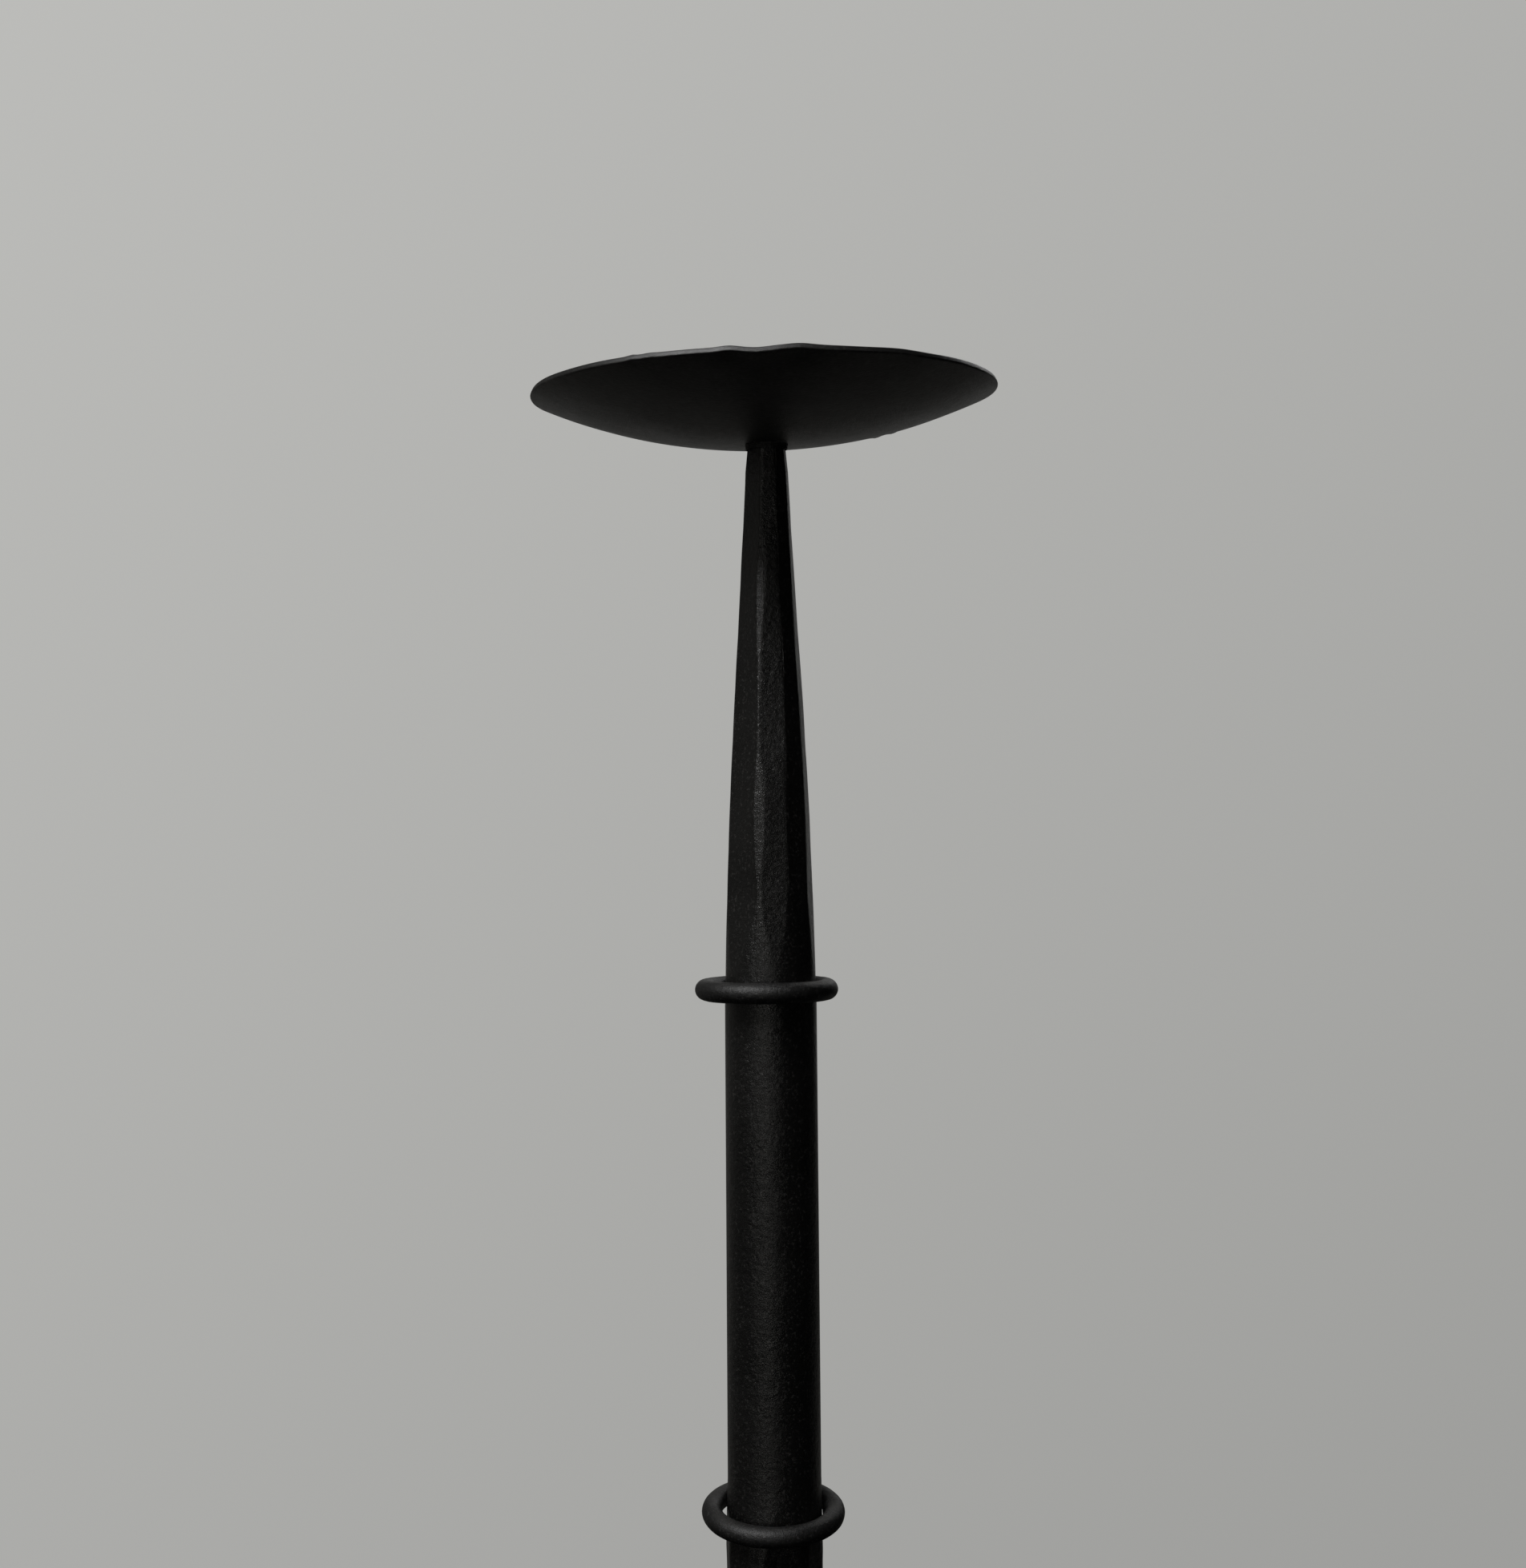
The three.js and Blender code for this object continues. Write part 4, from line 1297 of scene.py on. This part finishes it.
@dataclass
class Base:
    """The boss with its legs, rivets, washer, nut and the stud that holds the shaft."""

    axis_y: float
    shaft_bottom: float
    boss_bottom: float
    boss_top: float
    plug_radius: float
    boss_diameter: float = 76 * MM
    boss_chamfer: float = 3 * MM
    boss_rounding: float = 1 * MM
    boss_grid: float = 2 * MM
    register_diameter: float = 38.6 * MM
    register_depth: float = 3 * MM
    socket_floor: float = 20 * MM
    socket_diameter: float = 12.6 * MM
    tenon_diameter: float = 12 * MM
    stud_diameter: float = 16 * MM
    stud_chamfer: float = 1 * MM
    stud_end: float = 3 * MM
    thread_pitch: float = 2 * MM
    thread_depth: float = 0.7 * MM
    plug_length: float = 34 * MM
    plug_rounding: float = 0.8 * MM
    washer_diameter: float = 34 * MM
    washer_thickness: float = 3 * MM
    nut_flats: float = 24 * MM
    nut_height: float = 13 * MM
    nut_drop: float = 1.2 * MM  # how far its corners are turned away
    nut_funnel: float = 1 * MM
    rivet_circle: float = 28 * MM
    rivet_diameter: float = 5 * MM
    rivet_head: float = 9.6 * MM
    rivet_rise: float = 2.6 * MM
    rivet_blows: Relief = Relief(3.2 * MM, 0.15 * MM)
    leg_spread: float = 232 * MM
    leg_root_diameter: float = 24 * MM
    leg_tip_diameter: float = 13 * MM
    leg_tip_height: float = 7.5 * MM
    leg_shoulder_pull: float = 112 * MM
    leg_shoulder_lift: float = 12 * MM
    leg_ankle_pull: float = 104 * MM
    leg_sides: int = 8
    leg_stations: int = 96
    leg_voxel: float = 1 * MM
    leg_blows: Relief = Relief(9 * MM, 0.22 * MM)
    foot_diameter: float = 54 * MM
    foot_edge: float = 5 * MM
    foot_rim: float = 3 * MM
    foot_rounding: float = 2 * MM
    foot_crown: float = 10 * MM
    foot_crown_inset: float = 1.5 * MM
    sole_band: float = 0.7 * MM  # what lies no higher than this is pressed flat on the floor

    def __post_init__(self) -> None:
        """Works out the places that follow from the sizes."""
        self.axis = Matrix.Translation((0, self.axis_y, 0))
        self.socket_height = (self.boss_bottom + self.boss_top) / 2
        self.leg_root = self.boss_diameter / 2 + CLEARANCE
        self.washer_top = self.boss_bottom - CLEARANCE
        self.nut_top = self.washer_top - self.washer_thickness - CLEARANCE
        self.nut_bottom = self.nut_top - self.nut_height

    def rivet_hole(self) -> BMesh:
        """Makes the body of a rivet's hole.

        Returns:
            The mesh, standing on the +X side.
        """
        reach = self.boss_top - self.boss_bottom
        hole = rod(self.rivet_diameter / 2 + CLEARANCE, self.boss_bottom - reach, self.boss_top + reach)
        return moved(hole, Matrix.Translation((self.rivet_circle, 0, 0)))

    def radial_rod(self, diameter: float, start: float, end: float) -> BMesh:
        """Returns a round bar along +X at the height of the sockets."""
        lay = Matrix.Translation((0, 0, self.socket_height)) @ Matrix.Rotation(math.pi / 2, 4, "Y")
        return moved(rod(diameter / 2, start, end), lay)

    def boss(self) -> BMesh:
        """Turns the boss, and bores its sockets and rivet holes.

        Returns:
            The mesh, on the shaft's axis.
        """
        radius, bore = self.boss_diameter / 2, self.stud_diameter / 2 + CLEARANCE
        step = self.boss_top - self.register_depth
        corners = [
            (bore, self.boss_bottom),
            (radius - self.boss_chamfer, self.boss_bottom),
            (radius, self.boss_bottom + self.boss_chamfer),
            (radius, self.boss_top - self.boss_chamfer),
            (radius - self.boss_chamfer, self.boss_top),
            (self.register_diameter / 2, self.boss_top),
            (self.register_diameter / 2, step),
            (bore, step),
        ]
        shape = eased(corners, self.boss_rounding, closed=True)
        bm = spun(refined([*shape, shape[0]], self.boss_grid)[:-1], steps=120, closed=True)
        tools = []
        for side in Side:
            socket = self.radial_rod(self.socket_diameter, self.socket_floor, self.boss_diameter)
            tools += [moved(socket, turned_to(side)), moved(self.rivet_hole(), turned_to(side))]
        return cut(bm, tools)

    def stud(self) -> BMesh:
        """Turns the plug of the tube, and cuts the thread of its stud.

        Returns:
            The mesh, on the shaft's axis.
        """
        end = self.nut_bottom - self.stud_end
        radius, plug = self.stud_diameter / 2, self.plug_radius
        foot, top = self.shaft_bottom, self.shaft_bottom + self.plug_length
        rows = rungs(end + self.stud_chamfer, self.boss_bottom, self.thread_pitch / 8)
        profile = [
            (0, end),
            (radius - self.stud_chamfer, end),
            *((radius, height) for height in rows),
            (radius, self.boss_bottom),
            (radius, foot),
            *eased([(radius, foot), (plug, foot), (plug, top), (0, top)], self.plug_rounding)[1:],
        ]
        bm = spun(profile, steps=72)
        for vert in bm.verts:
            if vert.co.z < self.boss_bottom and math.hypot(vert.co.x, vert.co.y) > radius * 0.99:
                turn = math.atan2(vert.co.y, vert.co.x)
                groove = 0.5 - 0.5 * math.cos(math.tau * vert.co.z / self.thread_pitch - turn)
                vert.co.xy *= 1 - self.thread_depth * groove / radius
        return bm

    def washer(self) -> BMesh:
        """Returns the flat washer."""
        bottom, hole = self.washer_top - self.washer_thickness, self.stud_diameter / 2 + CLEARANCE
        return flat_ring(hole, self.washer_diameter / 2, bottom, self.washer_top, steps=96)

    def nut(self) -> BMesh:
        """Makes the hexagon nut: a bar of six flats, turned at its corners and bored.

        Returns:
            The mesh, on the shaft's axis.
        """
        low, high = self.nut_bottom, self.nut_top
        corner, drop = self.nut_flats / 2 / math.cos(math.pi / 6), self.nut_drop
        middle = Matrix.Translation((0, 0, (low + high) / 2)) @ Matrix.Rotation(math.pi / 6, 4, "Z")
        bar = bmesh.new()
        size = {"segments": 6, "radius1": corner, "radius2": corner, "depth": self.nut_height}
        bmesh.ops.create_cone(bar, cap_ends=True, matrix=middle, **size)
        turned = [
            (0, low),
            (corner - drop, low),
            (corner, low + drop / 2),
            (corner, high - drop / 2),
            (corner - drop, high),
            (0, high),
        ]
        shaped = cut(bar, [spun(turned, steps=120)], Keep.INSIDE)
        hole, funnel = self.stud_diameter / 2 + CLEARANCE, self.nut_funnel
        bore = [
            (0, low - funnel),
            (hole + 2 * funnel, low - funnel),
            (hole, low + funnel),
            (hole, high + funnel),
            (0, high + funnel),
        ]
        return cut(shaped, [spun(bore, steps=72)])

    def leg_frame(self, share: float) -> Matrix:
        """Returns the place of a section of the leg, with its Z ahead along the leg.

        Args:
            share: how far along the leg, from 0 at the boss to 1 at the foot.

        Returns:
            The matrix, with the section's size as its scale.
        """
        points = (
            Vector((self.leg_root, 0, self.socket_height)),
            Vector((self.leg_root + self.leg_shoulder_pull, 0, self.socket_height + self.leg_shoulder_lift)),
            Vector((self.leg_spread - self.leg_ankle_pull, 0, self.leg_tip_height)),
            Vector((self.leg_spread, 0, self.leg_tip_height)),
        )
        rest = 1 - share
        weights = (rest**3, 3 * rest**2 * share, 3 * rest * share**2, share**3)
        centre = sum((point * weight for point, weight in zip(points, weights)), Vector())
        slopes = [
            (points[1] - points[0]) * rest**2,
            (points[2] - points[1]) * 2 * rest * share,
            (points[3] - points[2]) * share**2,
        ]
        ahead = sum(slopes, Vector()).normalized() if share > 0 else Vector((1, 0, 0))
        across = Vector((0, 1, 0))
        up = ahead.cross(across)
        turn = Matrix((across, up, ahead)).transposed().to_4x4()
        radius = (self.leg_root_diameter + (self.leg_tip_diameter - self.leg_root_diameter) * share) / 2
        return Matrix.Translation(centre) @ turn @ Matrix.Diagonal((radius, radius, 1, 1))

    def leg_bar(self) -> BMesh:
        """Draws the bar of a leg out from its root, section by section.

        Returns:
            The mesh, along +X.
        """
        bm = bmesh.new()
        frame = self.leg_frame(0)
        start = frame @ Matrix.Rotation(math.pi / self.leg_sides, 4, "Z")
        bmesh.ops.create_circle(bm, cap_ends=True, segments=self.leg_sides, radius=1, matrix=start)
        end = list(bm.faces)
        for station in range(1, self.leg_stations + 1):
            grown = bmesh.ops.extrude_face_region(bm, geom=end)["geom"]
            end = [item for item in grown if isinstance(item, bmesh.types.BMFace)]
            verts = [item for item in grown if isinstance(item, bmesh.types.BMVert)]
            ahead = self.leg_frame(station / self.leg_stations)
            bmesh.ops.transform(bm, matrix=ahead @ frame.inverted(), verts=verts)
            frame = ahead
        bmesh.ops.recalc_face_normals(bm, faces=bm.faces[:])
        return bm

    def foot(self) -> BMesh:
        """Beats out a round foot.

        Returns:
            The mesh, with its sole on the floor.
        """
        radius, edge, crown = self.foot_diameter / 2, self.foot_edge, self.foot_crown
        inner, dome = radius - self.foot_rim, radius - self.foot_crown_inset
        rim = eased([(inner, 0), (radius, 0), (radius, edge), (inner, edge)], self.foot_rounding)
        top = [(math.cos(turn) * dome, edge + (crown - edge) * math.sin(turn)) for turn in quarter(10)[:-1]]
        return spun([(0, 0), *rim[:-1], *top, (0, crown)], steps=96)

    def leg(self, side: Side) -> BMesh:
        """Forges one leg: bar, tenon and foot in one skin, hammered all over.

        Args:
            side: which leg it is.

        Returns:
            The mesh, in its place on the boss.
        """
        tenon = self.radial_rod(self.tenon_diameter, self.socket_floor + CLEARANCE, self.leg_root + 1 * MM)
        foot = moved(self.foot(), Matrix.Translation((self.leg_spread, 0, 0)))
        skin = remeshed(joined([self.leg_bar(), tenon, foot]), self.leg_voxel, smoothing=5)
        moved(skin, turned_to(side))
        whole = cut(skin, [moved(self.rivet_hole(), turned_to(side))])
        planish(whole, self.leg_blows, seed=side.value)
        for vert in whole.verts:
            if vert.co.z <= self.sole_band:
                vert.co.z = 0.0
        return whole

    def rivet(self) -> BMesh:
        """Sets a rivet and peens its two heads.

        Returns:
            The mesh, standing on the +X side.
        """
        shank, head = self.rivet_diameter / 2, self.rivet_head / 2
        low, high = self.boss_bottom - CLEARANCE, self.boss_top + CLEARANCE
        under = [(head * math.sin(turn), low - self.rivet_rise * math.cos(turn)) for turn in quarter(8)]
        over = [(head * math.cos(turn), high + self.rivet_rise * math.sin(turn)) for turn in quarter(8)]
        lower, upper = [(0, under[0][1]), *under[1:]], [*over[:-1], (0, over[-1][1])]
        bm = spun([*lower, (shank, low), (shank, high), *upper], steps=56)
        planish(bm, self.rivet_blows, seed=2.2)
        return moved(bm, Matrix.Translation((self.rivet_circle, 0, 0)))

    def build(self, bench: Bench) -> None:
        """Makes the base's pieces.

        Args:
            bench: the bench that they are handed to.
        """
        for bm, name, slot, node in (
            (self.boss(), "turned_leg_boss", Slot.LEG, "leg_boss"),
            (self.stud(), "threaded_base_stud", Slot.HARDWARE, "shaft_plug_and_stud"),
            (self.washer(), "flat_base_washer", Slot.HARDWARE, "base_washer"),
            (self.nut(), "hexagon_base_nut", Slot.HARDWARE, "base_nut"),
        ):
            bench.piece(moved(bm, self.axis), name, slot, node)
        for side in Side:
            tail = side.name.lower()
            bench.piece(moved(self.leg(side), self.axis), f"forged_leg_{tail}", Slot.LEG, f"leg_{tail}")
            rivet = moved(self.rivet(), self.axis @ turned_to(side))
            bench.piece(rivet, f"peened_rivet_{tail}", Slot.HARDWARE, f"leg_rivet_{tail}")


# ---------------------------------------------------------------- studio


@dataclass(frozen=True)
class Softbox:
    """A soft lamp, seen from the stand: its angle right of the front and its height angle, in degrees."""

    name: str
    angle: float
    height_angle: float
    distance: float
    width: float
    tall: float
    power: float


@dataclass(frozen=True)
class Cloth:
    """A sheet that only gloss sees: a line swept round the shaft, from its start angle to its end angle.

    The line goes from one pair of distance and height to the other. Angles are in degrees right of the front.
    """

    name: str
    start: float
    end: float
    level: float  # of its grey
    near: tuple[float, float] = (3.4, -0.6)
    far: tuple[float, float] = (3.4, 4.6)


@dataclass
class Studio:
    """The camera, the lamps, the pale backdrop, the pale floor and the cloths that the paint reflects."""

    axis_y: float
    focal_pixels: float = 2800
    camera_x: float = -2.65 * MM
    camera_y: float = -1031.9 * MM
    camera_z: float = 949.63 * MM
    roll: float = -0.45
    sensor: float = 36
    backdrop: float = 0.42
    # backdrop_rise and backdrop_side paint a fall-off of light over the backdrop
    backdrop_rise: float = 0.34
    backdrop_side: float = -0.28
    backdrop_blue: float = 0.97
    ambient: float = 0.2
    aim_z: float = 1.0
    floor_level: float = 0.42
    floor_radius: float = 1.5
    floor_full: float = 0.7
    floor_cloud: float = 60 * MM
    floor_shares: tuple[float, float] = (0.97, 1.03)
    cloth_tint: tuple[float, ...] = (1.02, 1.0, 0.93)
    softboxes: tuple[Softbox, ...] = (
        Softbox("key_softbox", -41, 48, 3.0, 0.7, 1.0, 110),
        Softbox("rear_softbox", 150, 30, 2.6, 0.4, 0.8, 5),
    )
    cloths: tuple[Cloth, ...] = (
        Cloth("dark_cloth_right", 22, 152, 0.002),
        Cloth("grey_cloth_left", 195, 318, 0.1),
        Cloth("dim_cloth_front", 318, 382, 0.01),
        Cloth("pale_strip_front", 336, 351, 2.9, (3.3, 0.4), (3.3, 1.3)),
        Cloth("ceiling_cloth", 0, 360, 0.005, (0, 4.6), (3.4, 4.6)),
        Cloth("ground_shade", 0, 360, 0.001, (0, -1 * MM), (1.25, -1 * MM)),
        Cloth("ground_before", -130, 130, 0.005, (0, -2 * MM), (8, -2 * MM)),
        Cloth("ground_behind", 130, 230, 0.085, (0, -2 * MM), (8, -2 * MM)),
    )

    def camera(self) -> None:
        """Sets up the camera as the photograph was taken."""
        data = bpy.data.cameras.new("photo_camera")
        data.sensor_width = self.sensor
        data.lens = self.sensor * self.focal_pixels / max(PHOTO_WIDTH, PHOTO_HEIGHT)
        data.clip_start = 10 * MM
        made = bpy.data.objects.new("photo_camera", data)
        level = Matrix.Rotation(math.pi / 2, 4, "X") @ Matrix.Rotation(math.radians(self.roll), 4, "Z")
        made.matrix_world = Matrix.Translation((self.camera_x, self.camera_y, self.camera_z)) @ level
        bpy.context.scene.collection.objects.link(made)
        bpy.context.scene.camera = made

    def lamps(self) -> None:
        """Hangs the softboxes, each turned to the stand."""
        aim = Vector((0, self.axis_y, self.aim_z))
        for box in self.softboxes:
            data = bpy.data.lights.new(box.name, "AREA")
            data.shape = "RECTANGLE"
            data.size = box.width
            data.size_y = box.tall
            data.energy = box.power
            made = bpy.data.objects.new(box.name, data)
            rise = math.radians(box.height_angle)
            away = polar(box.angle, math.cos(rise), math.sin(rise))
            made.location = aim + away * box.distance
            made.rotation_euler = away.to_track_quat("Z", "Y").to_euler()
            bpy.context.scene.collection.objects.link(made)

    def surround(self) -> None:
        """Makes the world: a pale backdrop that camera and gloss see, and a plain light for the rest."""
        world = bpy.data.worlds.new("pale_backdrop")
        bpy.context.scene.world = world
        graph = Graph(world)
        seen: Socket | float = 0.0
        for ray in ("Is Camera Ray", "Is Glossy Ray", "Is Transmission Ray"):
            seen = graph.node("ShaderNodeLightPath", output=ray) + seen
        direction = graph.node("ShaderNodeTexCoord", output="Generated")
        across = graph.node("ShaderNodeSeparateXYZ", {}, {0: direction}, output="X")
        upward = graph.node("ShaderNodeSeparateXYZ", {}, {0: direction}, output="Z")
        # Painted fall-off of light: the backdrop is lighter upwards and darker to the right, as on a lit
        # wall.
        level = (upward * self.backdrop_rise + across * self.backdrop_side + 1) * self.backdrop
        blue = level * self.backdrop_blue
        tint = graph.node("ShaderNodeCombineColor", {}, {"Red": level, "Green": level, "Blue": blue})
        shown = graph.node("ShaderNodeBackground", {}, {"Color": tint, "Strength": 1.0})
        plain = graph.node("ShaderNodeBackground", {}, {"Color": grey(self.ambient), "Strength": 1.0})
        mixed = graph.node("ShaderNodeMixShader", {}, {0: seen, 1: plain, 2: shown})
        graph.finish("ShaderNodeOutputWorld", mixed)

    def floor(self) -> None:
        """Lays a pale floor that fades into the backdrop."""
        bm = bmesh.new()
        bmesh.ops.create_circle(bm, cap_ends=True, segments=96, radius=self.floor_radius)
        made = mesh_object(bm, "pale_floor")
        paint = bpy.data.materials.new("pale_floor_paint")
        graph = Graph(paint)
        place = graph.node("ShaderNodeTexCoord", output="Object")
        away = graph.node("ShaderNodeVectorMath", {"operation": "LENGTH"}, {0: place}, output="Value")
        cloud = graph.noise(place, self.floor_cloud, 5.0, 0.6)
        dark, light = (grey(self.floor_level * share, 0.01) for share in self.floor_shares)
        colour = graph.mix(cloud, dark, light)
        solid = graph.node("ShaderNodeBsdfDiffuse", {}, {"Color": colour})
        clear = graph.node("ShaderNodeBsdfTransparent")
        fade = away.ramp(self.floor_full, self.floor_radius)
        mixed = graph.node("ShaderNodeMixShader", {}, {0: fade, 1: solid, 2: clear})
        graph.finish("ShaderNodeOutputMaterial", mixed)
        made.data.materials.append(paint)
        made.visible_glossy = False

    def hang(self, cloth: bpy.types.Object, level: float) -> None:
        """Gives a cloth its grey and lets only gloss see it.

        Args:
            cloth: the cloth.
            level: its grey.
        """
        weave = bpy.data.materials.new(cloth.name)
        graph = Graph(weave)
        colour = (*(level * share for share in self.cloth_tint), 1.0)
        glow = graph.node("ShaderNodeEmission", {}, {"Color": colour, "Strength": 1.0})
        graph.finish("ShaderNodeOutputMaterial", glow)
        cloth.data.materials.append(weave)
        cloth.visible_camera = False
        cloth.visible_diffuse = False
        cloth.visible_transmission = False
        cloth.visible_shadow = False

    def tent(self) -> None:
        """Hangs the cloths round the stand, over it and under it, as a dim room shows in the paint.

        They leave the back open, so the paint shows the pale backdrop there.
        """
        for cloth in self.cloths:
            bm = bmesh.new()
            line = [bm.verts.new((0, -distance, height)) for distance, height in (cloth.near, cloth.far)]
            edge = bm.edges.new(line)
            bmesh.ops.rotate(bm, verts=line, matrix=Matrix.Rotation(math.radians(cloth.start), 3, "Z"))
            sweep = math.radians(cloth.end - cloth.start)
            bmesh.ops.spin(bm, geom=[*line, edge], cent=(0, 0, 0), axis=(0, 0, 1), angle=sweep, steps=24)
            bmesh.ops.remove_doubles(bm, verts=bm.verts[:], dist=0.1 * MM)
            moved(bm, Matrix.Translation((0, self.axis_y, 0)))
            self.hang(mesh_object(bm, cloth.name), cloth.level)

    def build(self) -> None:
        """Sets up the whole studio."""
        self.camera()
        self.lamps()
        self.surround()
        self.floor()
        self.tent()
        bpy.context.scene.view_settings.view_transform = "Standard"


# ---------------------------------------------------------------- the stand


def main() -> None:
    """Builds the stand round the frame and the studio round the stand."""
    logging.basicConfig(level=logging.INFO, format="%(name)s: %(message)s")
    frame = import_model()
    bench = Bench(frame["nodes"])
    axis_y = box_middle("leg_boss").y
    shaft_low, shaft_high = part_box("shaft")
    boss_low, boss_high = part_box("leg_boss")
    shaft = HammeredShaft(
        axis_y=axis_y,
        bottom=shaft_low.z,
        lower_ring=box_middle("lower_ring").z,
        upper_ring=box_middle("upper_ring").z,
        top=shaft_high.z,
    )
    pan_bottom = Matrix.Translation((0, axis_y, shaft.top + CLEARANCE))
    weld_foot = shaft.top - CLEARANCE - Head.bead_height
    head = Head(pan_bottom, shaft.neck_diameter / 2, shaft.radius(weld_foot))
    upper_ring = BarRing("upper_ring", box_middle("upper_ring"), dip=-1.0, lean=0.0, seed=2.0)
    lower_ring = BarRing("lower_ring", box_middle("lower_ring"), dip=6.1, lean=0.9, seed=9.0, lump=0.8 * MM)
    base = Base(
        axis_y=axis_y,
        shaft_bottom=shaft.bottom,
        boss_bottom=boss_low.z,
        boss_top=boss_high.z,
        plug_radius=shaft.bore(shaft.bottom) - CLEARANCE,
    )
    for assembly in (shaft, head, upper_ring, lower_ring, base):
        assembly.build(bench)
    Studio(axis_y).build()


if __name__ == "__main__":
    main()
